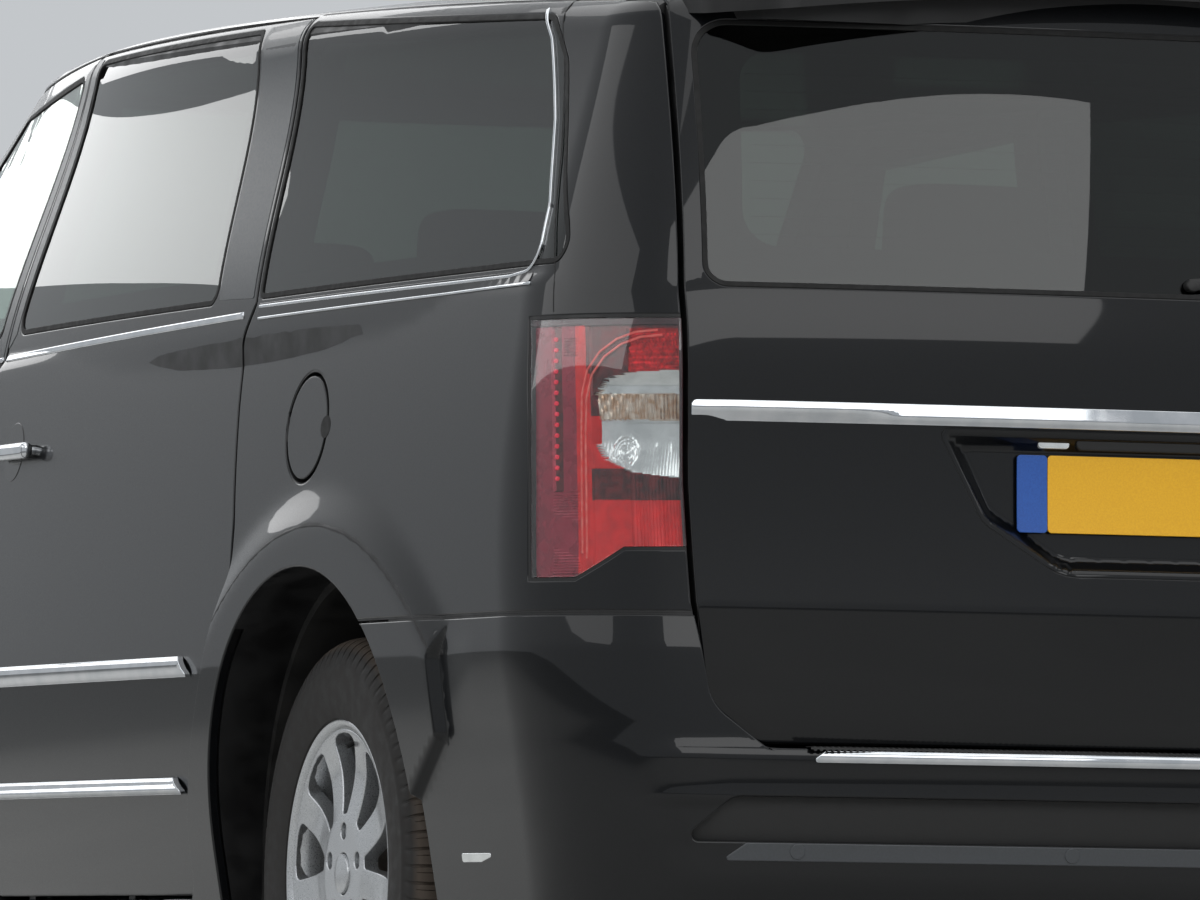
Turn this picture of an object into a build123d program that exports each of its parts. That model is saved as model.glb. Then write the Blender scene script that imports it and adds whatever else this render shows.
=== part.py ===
"""A seven-seat minivan, built as separate panels, glass, lamps, running gear and wheels.

Frame: +X forward, +Y to the vehicle's left, +Z up, millimetres. The origin is on the ground, midway
between the two ends and on the centre plane.
"""

import math
import os

from build123d import *

# Overall sizes
LENGTH = 5150.0
WIDTH = 1998.0
ROOF_TOP = 1746.0
WHEELBASE = 3078.0
REAR_AXLE_X = -1500.0
FRONT_AXLE_X = REAR_AXLE_X + WHEELBASE
TRACK = 1640.0

# Wheels and tyres, 225/65 R17 under load
TYRE_WIDTH = 222.0
TYRE_RADIUS = 353.0
AXLE_Z = TYRE_RADIUS
RIM_RADIUS = 229.0
RIM_SEAT = 214.0
RIM_WALL = 9.0
RIM_WIDTH = 196.0
HUB_BORE = 32.0
SPOKE_COUNT = 9
STUD_CIRCLE = 127.0
ARCH_RADIUS = 415.0
ARCH_Z = 392.0
FLARE_X = REAR_AXLE_X - 40.0
FLARE_RADII = (632.0, 531.0)
FLARE_Y = 970.0
FLARE_STAND = 16.0

# Walls, panes and the gaps between panels
WALL = 95.0
FRAME = 52.0
ROOF_WALL = 38.0
ROOF_EDGE = 60.0
HOOD_ROUND = 40.0
HOOD_WALL = 34.0
PANE = 5.0
PANE_RECESS = 7.0
SEAT = 0.3
SHUT = 8.0

REAR_X = -LENGTH / 2
FRONT_X = LENGTH / 2
HALF = WIDTH / 2
REACH = 3000.0

# Plan outlines of the lower body: height, rear end, front end, half width, rear corner, front corner
LOWER_LEVELS = [
    (190.0, REAR_X + 75, FRONT_X - 75, HALF - 66, 250.0, 420.0),
    (340.0, REAR_X + 13, FRONT_X - 14, HALF - 42, 265.0, 430.0),
    (520.0, REAR_X, FRONT_X, HALF - 15, 275.0, 440.0),
    (720.0, REAR_X + 22, FRONT_X - 20, HALF, 280.0, 440.0),
    (960.0, REAR_X + 38, FRONT_X - 110, HALF - 9, 280.0, 420.0),
    (1230.0, REAR_X + 75, FRONT_X - 330, HALF - 48, 270.0, 380.0),
]
# Plan outlines of the glasshouse, in the same columns
UPPER_LEVELS = [
    (1080.0, REAR_X + 50, 1590.0, HALF - 50, 230.0, 190.0),
    (1220.0, REAR_X + 75, 1400.0, HALF - 62, 220.0, 180.0),
    (1440.0, REAR_X + 130, 1110.0, HALF - 128, 200.0, 170.0),
    (1640.0, REAR_X + 190, 850.0, HALF - 192, 170.0, 150.0),
    (1790.0, REAR_X + 236, 655.0, HALF - 240, 150.0, 140.0),
]
LOWER_TAIL = (95.0, 70.0)
LOWER_NOSE = (230.0, 80.0)
UPPER_TAIL = (80.0, 70.0)
UPPER_NOSE = (230.0, 85.0)
WIDEST_X = 200.0

# Heights of the belt at the two ends of the cabin, and three points of the hood and roof centre lines
BELT_REAR = (-2600.0, 1195.0)
BELT_FRONT = (1134.0, 1150.0)
HOOD_LINE = [(1180.0, 1158.0), (1900.0, 1058.0), (2520.0, 850.0)]
HOOD_CROWN = 16000.0
ROOF_CENTRE_X = -300.0
ROOF_RADIUS = 23000.0
ROOF_CROWN = 5000.0


def plan_face(level, tail, nose, inset):
    """One plan outline: rear arc, sides bowed about WIDEST_X and front arc, corners rounded."""
    z, rear, front, half, rear_radius, front_radius = level
    rear += inset
    front -= inset
    half -= inset
    rear_corner = (rear + tail[0], half - tail[1])
    front_corner = (front - nose[0], half - nose[1])
    rear_arc = ThreePointArc((rear_corner[0], -rear_corner[1]), (rear, 0), rear_corner)
    left = ThreePointArc(rear_corner, (WIDEST_X, half), front_corner)
    front_arc = ThreePointArc(front_corner, (front, 0), (front_corner[0], -front_corner[1]))
    right = ThreePointArc((front_corner[0], -front_corner[1]), (WIDEST_X, -half),
                          (rear_corner[0], -rear_corner[1]))
    face = make_face([rear_arc, left, front_arc, right])
    face = fillet(face.vertices().sort_by(Axis.X)[:2], rear_radius - inset)
    face = fillet(face.vertices().sort_by(Axis.X)[-2:], front_radius - inset)
    return Pos(0, 0, z) * face


def lower_hull(inset):
    return loft([plan_face(level, LOWER_TAIL, LOWER_NOSE, inset) for level in LOWER_LEVELS])


def upper_hull(inset):
    return loft([plan_face(level, UPPER_TAIL, UPPER_NOSE, inset) for level in UPPER_LEVELS])


def block(x0, x1, y0, y1, z0, z1):
    return Pos((x0 + x1) / 2, (y0 + y1) / 2, (z0 + z1) / 2) * Box(abs(x1 - x0), abs(y1 - y0), abs(z1 - z0))


def rounded(points, place):
    """A face from corners given as (a, b) or (a, b, radius), put in space by place(a, b)."""
    face = make_face(Polyline([place(p[0], p[1]) for p in points], close=True))
    for p in points:
        if len(p) > 2 and p[2] > 0:
            corner = face.vertices().sort_by_distance(place(p[0], p[1]))[0]
            face = fillet([corner], p[2])
    return face


def side_prism(points, y0, y1):
    """A prism across the vehicle from a side-view outline of (x, z, radius)."""
    return extrude(rounded(points, lambda a, b: (a, y0, b)), y1 - y0, (0, 1, 0))


def end_prism(points, x0, x1):
    """A prism along the vehicle from an end-view outline of (y, z, radius)."""
    return extrude(rounded(points, lambda a, b: (x0, a, b)), x1 - x0, (1, 0, 0))


def plan_prism(points, z0, z1):
    """An upright prism from a plan outline of (x, y, radius)."""
    return extrude(rounded(points, lambda a, b: (a, b, z0)), z1 - z0, (0, 0, 1))


def grown(points, amount):
    """A closed outline moved outward by amount on every side; the radii grow with it."""
    area = sum(p[0] * q[1] - q[0] * p[1] for p, q in zip(points, points[1:] + points[:1]))
    turn = 1.0 if area > 0 else -1.0
    result = []
    count = len(points)
    for i in range(count):
        before = points[i - 1]
        here = points[i]
        after = points[(i + 1) % count]
        ax = here[0] - before[0]
        az = here[1] - before[1]
        bx = after[0] - here[0]
        bz = after[1] - here[1]
        la = math.hypot(ax, az)
        lb = math.hypot(bx, bz)
        na = (turn * az / la, -turn * ax / la)
        nb = (turn * bz / lb, -turn * bx / lb)
        scale = amount / (1 + na[0] * nb[0] + na[1] * nb[1])
        radius = here[2] if len(here) > 2 else 0.0
        radius = max(0.0, radius + amount) if radius > 0 else 0.0
        result.append((here[0] + (na[0] + nb[0]) * scale, here[1] + (na[1] + nb[1]) * scale, radius))
    return result


def circle_through(p, q, r):
    """Centre and radius of the circle through three points."""
    ax, ay = p
    bx, by = q
    cx, cy = r
    d = 2 * (ax * (by - cy) + bx * (cy - ay) + cx * (ay - by))
    sa = ax * ax + ay * ay
    sb = bx * bx + by * by
    sc = cx * cx + cy * cy
    ux = (sa * (by - cy) + sb * (cy - ay) + sc * (ay - by)) / d
    uy = (sa * (cx - bx) + sb * (ax - cx) + sc * (bx - ax)) / d
    return ux, uy, math.hypot(ax - ux, ay - uy)


def crowned_solid(centre_x, centre_z, radius, crown):
    """The solid under a surface curved along the vehicle by radius and across it by crown."""
    top = centre_z + radius
    y = 1300.0
    drop = crown - math.sqrt(crown * crown - y * y)
    arc = ThreePointArc((centre_x, -y, top - drop), (centre_x, 0, top), (centre_x, y, top - drop))
    base = Polyline([(centre_x, y, top - drop), (centre_x, y, centre_z + 200), (centre_x, -y, centre_z + 200),
                     (centre_x, -y, top - drop)])
    face = make_face([arc, base])
    axis = Axis((centre_x, 0, centre_z), (0, 1, 0))
    half_turn = math.degrees(math.asin(min(0.99, 3400.0 / radius)))
    return revolve(face.rotate(axis, -half_turn), axis, 2 * half_turn)


HOOD_X, HOOD_Z, HOOD_RADIUS = circle_through(*HOOD_LINE)


def under_hood(depth):
    return crowned_solid(HOOD_X, HOOD_Z, HOOD_RADIUS - depth, HOOD_CROWN)


def under_roof(depth):
    return crowned_solid(ROOF_CENTRE_X, ROOF_TOP - ROOF_RADIUS, ROOF_RADIUS - depth, ROOF_CROWN)


def both(shape):
    """The shape and its mirror image on the vehicle's other side."""
    return Compound(children=[*solids(shape), *solids(mirror(shape, Plane.XZ))])


def solids(shape):
    return list(shape.solids())


# Outer surfaces and the hollows inside them
above_belt = side_prism(
    [(BELT_REAR[0], BELT_REAR[1]), (BELT_FRONT[0], BELT_FRONT[1]), (BELT_FRONT[0], 1500.0), (-2600.0, 1500.0)],
    -REACH, REACH)
ahead = block(BELT_FRONT[0], 2700, -REACH, REACH, 150, 1500)
lower_outer = lower_hull(0) - above_belt
lower_outer = lower_outer - (ahead - under_hood(0))
hood_face = [f for f in lower_outer.faces() if f.center().X > 1400 and f.normal_at(f.center()).Z > 0.9][0]
lower_outer = fillet([e for e in hood_face.edges() if e.center().X > 1140], HOOD_ROUND)
lower_inner = lower_hull(WALL)
upper_outer = upper_hull(0) & under_roof(0)
upper_outer = fillet(upper_outer.faces().sort_by(Axis.Z)[-1].edges(), ROOF_EDGE)
upper_inner = upper_hull(FRAME) & under_roof(ROOF_WALL)
pane_outer = upper_hull(1.0)
pane_inner = upper_hull(1.0 + PANE)
recess_inner = upper_hull(PANE_RECESS)

lower_shell = lower_outer - lower_inner
upper_shell = upper_outer - upper_inner - lower_inner
side_frame = upper_outer - upper_hull(FRAME) - lower_inner
top_layer = (lower_outer & ahead) - under_hood(HOOD_WALL) - upper_outer
left = block(-2700, 2700, 0.15, 1300, 0, 2000)
left_wall = block(-2700, 2700, 690, 1300, 0, 2000)


def arch(axle_x, extra):
    """The round wheel opening through the left side wall, with an open foot."""
    hole = Pos(axle_x, 850, ARCH_Z) * Rot(90, 0, 0) * Cylinder(ARCH_RADIUS + extra, 700)
    return hole + block(axle_x - ARCH_RADIUS - extra, axle_x + ARCH_RADIUS + extra, 500, 1200, 0, ARCH_Z)


# Side-view outlines (x, z, radius)
FRONT_DOOR = [(50.0, 322.0, 30.0), (1126.0, 322.0, 60.0), (1126.0, 1152.0, 0.0), (1085.0, 1196.0, 0.0),
              (560.0, 1650.0, 40.0), (-59.0, 1668.0, 20.0), (50.0, 1165.0, 0.0)]
FRONT_GLASS = [(94.0, 1222.0, 25.0), (992.0, 1208.0, 30.0), (545.0, 1610.0, 30.0), (-8.0, 1640.0, 25.0)]
SLIDING_DOOR = [(-968.0, 322.0, 30.0), (42.0, 322.0, 30.0), (42.0, 1165.0, 0.0), (-67.0, 1668.0, 20.0),
                (-1192.0, 1650.0, 20.0), (-1196.0, 1214.0, 0.0), (-1150.0, 1160.0, 20.0), (-1160.0, 1060.0, 0.0),
                (-1188.0, 880.0, 90.0), (-1184.0, 805.0, 60.0), (-1110.0, 692.0, 60.0), (-1026.0, 548.0, 60.0),
                (-974.0, 430.0, 60.0)]
SLIDING_GLASS = [(-1024.0, 1222.0, 30.0), (-6.0, 1222.0, 30.0), (-110.0, 1656.0, 25.0), (-1018.0, 1642.0, 25.0)]
QUARTER_GLASS = [(-2322.0, 1224.0, 25.0), (-1212.0, 1222.0, 12.0), (-1206.0, 1640.0, 12.0),
                 (-2052.0, 1596.0, 60.0), (-2130.0, 1525.0, 40.0)]
QUARTER_HOLE = [(-2235.0, 1255.0, 30.0), (-1270.0, 1252.0, 30.0), (-1266.0, 1604.0, 30.0),
                (-2062.0, 1566.0, 40.0), (-2105.0, 1500.0, 30.0)]
# The flare's pointed tail on the bumper
FLARE_TAIL = [(-1870.0, 720.0), (-2056.0, 720.0), (-2006.0, 665.0), (-2022.0, 549.0), (-1912.0, 470.0),
              (-1870.0, 470.0)]
# The lamp's front edge in the side view, and the step in its foot in the end view
LAMP_EDGE = [(-2700.0, 770.0), (-2319.0, 770.0), (-2306.0, 900.0), (-2292.0, 1000.0), (-2270.0, 1100.0),
             (-2257.0, 1140.0), (-2700.0, 1140.0)]
LAMP_FOOT = [(700.0, 760.0), (896.0, 760.0), (828.0, 813.0), (700.0, 815.0)]
LAMP_DEPTH = 60.0
# End-view outlines of the left half, from the bottom up (y, z, radius)
TAILGATE_EDGE = [(640.0, 538.0, 40.0), (715.0, 596.0, 60.0), (737.0, 736.0, 0.0), (745.0, 905.0, 0.0),
                 (745.0, 1174.0, 0.0), (718.0, 1597.0, 0.0), (706.0, 1800.0, 0.0)]
TAILGATE_GLASS_EDGE = [(716.0, 1188.0, 30.0), (694.0, 1572.0, 50.0)]
TAILGATE_HOLE_EDGE = [(655.0, 1245.0, 50.0), (632.0, 1530.0, 50.0)]
WINDSCREEN_EDGE = [(770.0, 1122.0, 40.0), (672.0, 1652.0, 60.0)]
GROOVE_EDGE = [(760.0, 398.0, 10.0), (690.0, 462.0, 30.0)]
GROOVE_DEPTH = 16.0
RECESS_EDGE = [(201.0, 783.0, 90.0), (318.0, 858.0, 50.0), (385.0, 991.0, 12.0)]
RECESS_DEPTH = 26.0
TUCK_Z = 731.0
TUCK_FOOT_Z = 525.0
TUCK_DEPTH = 44.0
TAILGATE_FRONT_X = -2291.0
ROOF_HALF = 700.0
ROOF_FRONT_X = 860.0
SPOILER_EDGE = [(-2292.0, 700.0, 0.0), (-2372.0, 688.0, 30.0), (-2442.0, 590.0, 60.0)]
SPOILER_FOOT = [(-2292.0, 676.0, 0.0), (-2392.0, 600.0, 40.0)]
SPOILER_THICK = 24.0
# Plan outline of the hood's left half, rear to front (x, y, radius)
HOOD_REAR_X = 1345.0
HOOD_EDGE = [(1150.0, 872.0, 0.0), (2080.0, 850.0, 160.0), (2445.0, 610.0, 120.0)]


def mirrored(edge):
    """A closed outline from its left half: the right half is the mirror image."""
    return [(-p[0], p[1], p[2]) for p in reversed(edge)] + list(edge)


def mirrored_plan(edge):
    return list(edge) + [(p[0], -p[1], p[2]) for p in reversed(edge)]


def flipped(shape):
    return mirror(shape, Plane.XZ)


tailgate_outline = mirrored(TAILGATE_EDGE)
tailgate_glass_outline = mirrored(TAILGATE_GLASS_EDGE)
tailgate_hole_outline = mirrored(TAILGATE_HOLE_EDGE)
windscreen_outline = mirrored(WINDSCREEN_EDGE)
hood_outline = mirrored_plan(HOOD_EDGE)


def glazed(wall, outline, hole):
    """A wall with the pane's recess and the opening behind it cut out."""
    rebate = side_prism(outline, 600, 1200) - recess_inner
    return wall - side_prism(hole, 600, 1200) - rebate


def pane(prism):
    return (pane_outer - pane_inner) & prism


# Doors: the front pair swing, the rear pair slide
front_door = (lower_shell + side_frame) & side_prism(FRONT_DOOR, 690, 1200)
front_door = front_door - block(-200, 1200, 600, ROOF_HALF + SHUT, 1400, 1900)
front_door = glazed(front_door, FRONT_GLASS, grown(FRONT_GLASS, -32))
front_glass = pane(side_prism(grown(FRONT_GLASS, -SEAT), 600, 1200))
sliding_door = (lower_shell + side_frame) & side_prism(SLIDING_DOOR, 690, 1200)
sliding_door = glazed(sliding_door, SLIDING_GLASS, grown(SLIDING_GLASS, -38))
sliding_glass = pane(side_prism(grown(SLIDING_GLASS, -SEAT), 600, 1200))
quarter_glass = pane(side_prism(grown(QUARTER_GLASS, -SEAT), 600, 1200))

# Side structure: sill, posts, quarter panel and roof rail
POST_FRONT_X = 1165.0
door_space = side_prism(grown(FRONT_DOOR, SHUT), 690, 1200) + side_prism(grown(SLIDING_DOOR, SHUT), 690, 1200)
door_space = door_space - upper_hull(FRAME + SHUT) - block(-1300, 1200, 0, 1200, 1678, 1900)
door_space_low = side_prism(grown(FRONT_DOOR, SHUT), 690, 1200) + side_prism(grown(SLIDING_DOOR, SHUT), 690, 1200)
door_space_low = door_space_low & block(-1300, 1200, 690, 1200, 200, 1240)
post = (lower_hull(45 + SEAT) - lower_inner) & block(1133, POST_FRONT_X, 600, 1200, 240, 1118)
side = (lower_shell & block(-2700, 1134, 0.15, 1200, 150, 1400)) + (upper_shell & left)
side = side - (block(1134 - SEAT, 1800, 600, 1200, 1000, 1200) & lower_hull(-SEAT) & under_hood(-SEAT)) + post
side = side - door_space - door_space_low
side = side - block(1251, 1700, 0, 1200, 900, 1125 - 8) - block(-2700, TAILGATE_FRONT_X + SHUT, 0, 700, 150, 1900)
side = side - block(-2300, 1100, 0, ROOF_HALF + SEAT, 1500, 1900)
side = side - end_prism(grown(tailgate_outline, SHUT), -2700, TAILGATE_FRONT_X + SHUT)
side = side - end_prism(windscreen_outline, 300, 1800)
side = side - block(300, 1800, -700, ROOF_HALF + SEAT, 1000, 1900) - block(1000, 1900, 0, 780, 1000, 1300)
side = side - block(-2700, -1870, 0, 1200, 150, 720 + SEAT)
side = glazed(side, QUARTER_GLASS, QUARTER_HOLE)
side = side - arch(FRONT_AXLE_X, 0)


def flare_section(y, shrink):
    """The flare's outline in one upright plane along the vehicle."""
    plane = Plane((FLARE_X, y, ARCH_Z), (1, 0, 0), (0, 1, 0))
    return plane * Ellipse(FLARE_RADII[0] - shrink, FLARE_RADII[1] - shrink)


# Wheel arch flare: a face that leans out from an elliptic ridge to the rim of the opening
FLARE_LEAN = math.degrees(math.atan2(33.0, 943.0))
flare_cone = loft([flare_section(FLARE_Y - 40, -120), flare_section(FLARE_Y + 42, 126)], ruled=True)
flare_cone = flare_cone.rotate(Axis((FLARE_X, FLARE_Y, 0), (0, 0, 1)), FLARE_LEAN)
flare = ((lower_hull(-FLARE_STAND) - lower_hull(30)) & flare_cone) - arch(REAR_AXLE_X, 0) - door_space_low
side = side - arch(REAR_AXLE_X, 0) + (flare & block(-2700, -900, 800, 1200, 720 + SEAT, 1000))

# Door hinges: upright pins in the gap at the front edge of each front door
HINGE_X = 1130.0
HINGE_Y = 984.5
HINGE_HEIGHTS = [(590.0, 650.0), (735.0, 795.0)]
PIN_RADIUS = 2.0
EYE_RADIUS = 3.4


def upright(x, y, z0, z1, radius):
    return Pos(x, y, (z0 + z1) / 2) * Cylinder(radius, z1 - z0)


for z0, z1 in HINGE_HEIGHTS:
    pin = upright(HINGE_X, HINGE_Y, z0 - 8, z1 + 8, PIN_RADIUS)
    leaf = block(HINGE_X, HINGE_X + 12, HINGE_Y - 60, HINGE_Y, z0 - 8, z0 - SEAT)
    leaf = leaf + block(HINGE_X, HINGE_X + 12, HINGE_Y - 60, HINGE_Y, z1 + SEAT, z1 + 8)
    side = side + pin + leaf
    eye = upright(HINGE_X, HINGE_Y, z0, z1, EYE_RADIUS)
    eye = eye + block(HINGE_X - 8, HINGE_X, HINGE_Y - 14, HINGE_Y, z0, z1)
    front_door = front_door + (eye - upright(HINGE_X, HINGE_Y, z0 - 8, z1 + 8, PIN_RADIUS + SEAT))

# Fuel flap in its pocket, hinged at its front edge
FLAP_X = -1462.0
FLAP_Z = 1016.0
FLAP_RADIUS = 80.0
flap_disc = Pos(FLAP_X, 930, FLAP_Z) * Rot(90, 0, 0) * Cylinder(FLAP_RADIUS - 3.0, 300)
flap_hole = Pos(FLAP_X, 930, FLAP_Z) * Rot(90, 0, 0) * Cylinder(FLAP_RADIUS + 3.0, 300)
flap = (lower_outer - lower_hull(8)) & flap_disc
pocket = (lower_hull(-50) - lower_hull(60)) & flap_hole
FLAP_HINGE_X = FLAP_X + FLAP_RADIUS
FLAP_HINGE_Y = 965.0

# Sill guides and latches that carry the sliding door
SLIDER_STUDS = [(-600.0, 314.0, 322.5), (-100.0, 314.0, 322.5)]

# Body at the back: roof, tailgate, bumper, lamps
roof = (upper_shell & block(-2280, ROOF_FRONT_X, -ROOF_HALF, ROOF_HALF, 1500, 1900))
roof = roof - end_prism(windscreen_outline, 300, 1800)
rear_wall = (lower_outer & block(-2700, -2200, -1200, 1200, 100, 1300)) - [lower_inner, upper_inner]
rear_wall = rear_wall + (upper_shell & block(-2700, -2200, -1200, 1200, 1000, 1900))
tailgate = rear_wall & end_prism(tailgate_outline, -2700, TAILGATE_FRONT_X)
recess_back = end_prism(tailgate_glass_outline, -2700, -2200) - recess_inner
tailgate = tailgate - [end_prism(tailgate_hole_outline, -2700, -2200), recess_back]
tailgate_glass = pane(end_prism(grown(tailgate_glass_outline, -SEAT), -2700, -2200))
crease = plan_face((TUCK_Z, REAR_X + 23, FRONT_X - 20, HALF, 280.0, 440.0), LOWER_TAIL, LOWER_NOSE, 0)
foot = plan_face((TUCK_FOOT_Z, REAR_X + 23, FRONT_X - 20, HALF, 280.0, 440.0), LOWER_TAIL, LOWER_NOSE, TUCK_DEPTH)
tailgate = tailgate - (block(-2700, -2300, -900, 900, 500, TUCK_Z) - loft([foot, crease], ruled=True))
recess_floor = lower_hull(RECESS_DEPTH)
tailgate = tailgate - (end_prism(mirrored(RECESS_EDGE), -2700, -2400) - recess_floor)
spoiler = plan_prism(mirrored_plan(SPOILER_EDGE), 1500, 1800) & (under_roof(0) - under_roof(SPOILER_THICK))
spoiler_foot = plan_prism(mirrored_plan(SPOILER_FOOT), 1500, 1800)
spoiler_foot = spoiler_foot & (under_roof(SPOILER_THICK - 1) - under_roof(60))
spoiler_foot = spoiler_foot - end_prism(grown(tailgate_glass_outline, 3.0), -2700, -2200)
tailgate = tailgate + spoiler + spoiler_foot
rear_bumper = lower_shell & block(-2700, -1870, -1200, 1200, 150, 720)
rear_bumper = rear_bumper - end_prism(grown(tailgate_outline, SHUT), -2700, -2200)
rear_bumper = rear_bumper - arch(REAR_AXLE_X, 0) - mirror(arch(REAR_AXLE_X, 0), Plane.XZ)
groove = (lower_hull(-50) - lower_hull(GROOVE_DEPTH)) & end_prism(mirrored(GROOVE_EDGE), -2700, -2300)
rear_bumper = rear_bumper - groove
rear_flare = flare & side_prism(FLARE_TAIL, 800, 1200)
rear_flare = rear_flare + flipped(rear_flare)
rear_bumper = rear_bumper + rear_flare
lamp_zone = side_prism(LAMP_EDGE, 753, 1200) - end_prism(LAMP_FOOT, -2700, -2200)
lamp_room = side_prism(grown(LAMP_EDGE, SEAT), 600, 1200) - end_prism(grown(LAMP_FOOT, -SEAT), -2700, -2200)
lamp_pocket = (lower_outer - lower_hull(LAMP_DEPTH + SEAT)) & lamp_room
tail_lamp = (lower_outer - lower_hull(LAMP_DEPTH)) & lamp_zone
side = side - lamp_pocket - pocket

# Body at the front: hood, fenders, bumper, grille, headlamps, windscreen
hood_prism = plan_prism(hood_outline, 600, 1300)
hood_hole = plan_prism(grown(hood_outline, SHUT), 600, 1300)
glass_foot = upper_hull(-28)
front_shell = (lower_shell & block(1134 + SEAT, 2700, -1200, 1200, 150, 1400)) + top_layer
front_shell = front_shell & block(1134 + SEAT, 2700, -1200, 1200, 150, 1400)
hood = ((top_layer & hood_prism) - glass_foot) & block(HOOD_REAR_X, 2700, -1200, 1200, 600, 1400)
hood_space = (hood_hole - upper_hull(-20)) & block(HOOD_REAR_X - SHUT, 2700, -1200, 1200, 600, 1400)
nose_zone = block(2210, 2700, -1200, 1200, 645, 1000)
grille_zone = block(2210, 2700, -485, 485, 645, 1000)
bumper_zone = block(2040, 2700, -1200, 1200, 150, 645)
front_rest = front_shell - hood_space
front_bumper = front_rest & bumper_zone
front_nose = front_rest & nose_zone
grille = front_nose & block(2210, 2700, -485, 485, 645 + SEAT, 1000)
headlamp = front_nose & block(2210, 2700, 485 + SEAT, 1200, 645 + SEAT, 1000)
fenders = front_rest - block(2040 - SEAT, 2700, -1200, 1200, 150, 645)
fenders = fenders - block(2210 - SEAT, 2700, -1200, 1200, 640, 1000)
arch_front = arch(FRONT_AXLE_X, 0) + mirror(arch(FRONT_AXLE_X, 0), Plane.XZ)
post_space = lower_hull(45) & block(1100, POST_FRONT_X + SEAT, -1200, 1200, 150, 1118 + SEAT)
fenders = fenders - arch_front - post_space
front_bumper = front_bumper - arch_front
windscreen = pane(end_prism(grown(windscreen_outline, -SEAT), 300, 1800))
windscreen = windscreen & block(300, 1800, -1000, 1000, 1125, 1800)


hinge_room = block(HINGE_X, HINGE_X + 13, HINGE_Y - 62, HINGE_Y + 6, 570, 815)
fenders = fenders - hinge_room - flipped(hinge_room)


def roof_top(x, y):
    """Height of the roof's outer surface."""
    return ROOF_TOP - (x - ROOF_CENTRE_X) ** 2 / (2 * ROOF_RADIUS) - y * y / (2 * ROOF_CROWN)


def hood_top(x, y):
    """Height of the hood's outer surface."""
    return HOOD_Z + math.sqrt(HOOD_RADIUS ** 2 - (x - HOOD_X) ** 2) - y * y / (2 * HOOD_CROWN)


def across(x, y0, y1, z, radius):
    return Pos(x, (y0 + y1) / 2, z) * Rot(90, 0, 0) * Cylinder(radius, abs(y1 - y0))


def along(x0, x1, y, z, radius):
    return Pos((x0 + x1) / 2, y, z) * Rot(0, 90, 0) * Cylinder(radius, abs(x1 - x0))


# Hood hinges at the two rear corners
HOOD_AXIS_X = HOOD_REAR_X - 6.0
HOOD_AXIS_Z = hood_top(HOOD_REAR_X, 850) - 7.0
hood_pocket = block(HOOD_AXIS_X - 9, HOOD_REAR_X + 3, 834, 866, HOOD_AXIS_Z - 12, HOOD_AXIS_Z + 40)
hood_pin = across(HOOD_AXIS_X, 842, 884, HOOD_AXIS_Z, 3.0)
hood_eye = across(HOOD_AXIS_X, 840, 860, HOOD_AXIS_Z, 5.5)
hood_eye = hood_eye + block(HOOD_AXIS_X, HOOD_REAR_X + 6, 840, 860, HOOD_AXIS_Z - 5.5, HOOD_AXIS_Z + 3)
hood_eye = hood_eye - across(HOOD_AXIS_X, 830, 870, HOOD_AXIS_Z, 3.0 + SEAT)
hood_clear = across(HOOD_AXIS_X, 830, 870, HOOD_AXIS_Z, 3.0 + SEAT)
for turn in (1, -1):
    flip = (lambda v: v) if turn > 0 else (lambda v: mirror(v, Plane.XZ))
    fenders = fenders - flip(hood_pocket) + flip(hood_pin)
    hood = hood - flip(hood_clear) + flip(hood_eye)

# Tailgate hinges in the roof gap
GATE_AXIS_X = -2285.5
GATE_AXIS_Z = roof_top(GATE_AXIS_X, 0) - 1.0
for y0 in (-170.0, 110.0):
    y1 = y0 + 60
    roof = roof + across(GATE_AXIS_X, y0 - 8, y1 + 8, GATE_AXIS_Z - 1.4, PIN_RADIUS)
    roof = roof + block(GATE_AXIS_X, GATE_AXIS_X + 9, y0 - 8, y0 - SEAT, GATE_AXIS_Z - 20, GATE_AXIS_Z - 1.4)
    roof = roof + block(GATE_AXIS_X, GATE_AXIS_X + 9, y1 + SEAT, y1 + 8, GATE_AXIS_Z - 20, GATE_AXIS_Z - 1.4)
    gate_eye = across(GATE_AXIS_X, y0, y1, GATE_AXIS_Z - 1.4, EYE_RADIUS)
    gate_eye = gate_eye + block(GATE_AXIS_X - 9, GATE_AXIS_X, y0, y1, GATE_AXIS_Z - 16, GATE_AXIS_Z - 1.4)
    tailgate = tailgate + (gate_eye - across(GATE_AXIS_X, y0 - 9, y1 + 9, GATE_AXIS_Z - 1.4, PIN_RADIUS + SEAT))
GATE_AXIS_Z -= 1.4

# Fuel flap hinge
flap_room = upright(FLAP_HINGE_X, 966.0, FLAP_Z - 18 - SEAT, FLAP_Z + 18 + SEAT, 6.0)
side = side - flap_room
probe = lower_outer & block(FLAP_HINGE_X - 4, FLAP_HINGE_X - 3, 800, 1100, FLAP_Z - 0.5, FLAP_Z + 0.5)
FLAP_HINGE_Y = probe.bounding_box().max.Y - 1.6
side = side + upright(FLAP_HINGE_X, FLAP_HINGE_Y, FLAP_Z - 26, FLAP_Z + 26, 1.5)
for z0, z1 in ((FLAP_Z + 18 + SEAT, FLAP_Z + 26), (FLAP_Z - 26, FLAP_Z - 18 - SEAT)):
    side = side + block(FLAP_HINGE_X, FLAP_HINGE_X + 7, FLAP_HINGE_Y - 9, FLAP_HINGE_Y, z0, z1)
flap_eye = upright(FLAP_HINGE_X, FLAP_HINGE_Y, FLAP_Z - 18, FLAP_Z + 18, 2.8)
flap_eye = flap_eye + block(FLAP_HINGE_X - 9, FLAP_HINGE_X, FLAP_HINGE_Y - 6, FLAP_HINGE_Y,
                            FLAP_Z - 18, FLAP_Z + 18)
flap = flap - block(FLAP_HINGE_X - 9, FLAP_HINGE_X, 800, 1000, FLAP_Z - 30, FLAP_Z - 18)
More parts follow.
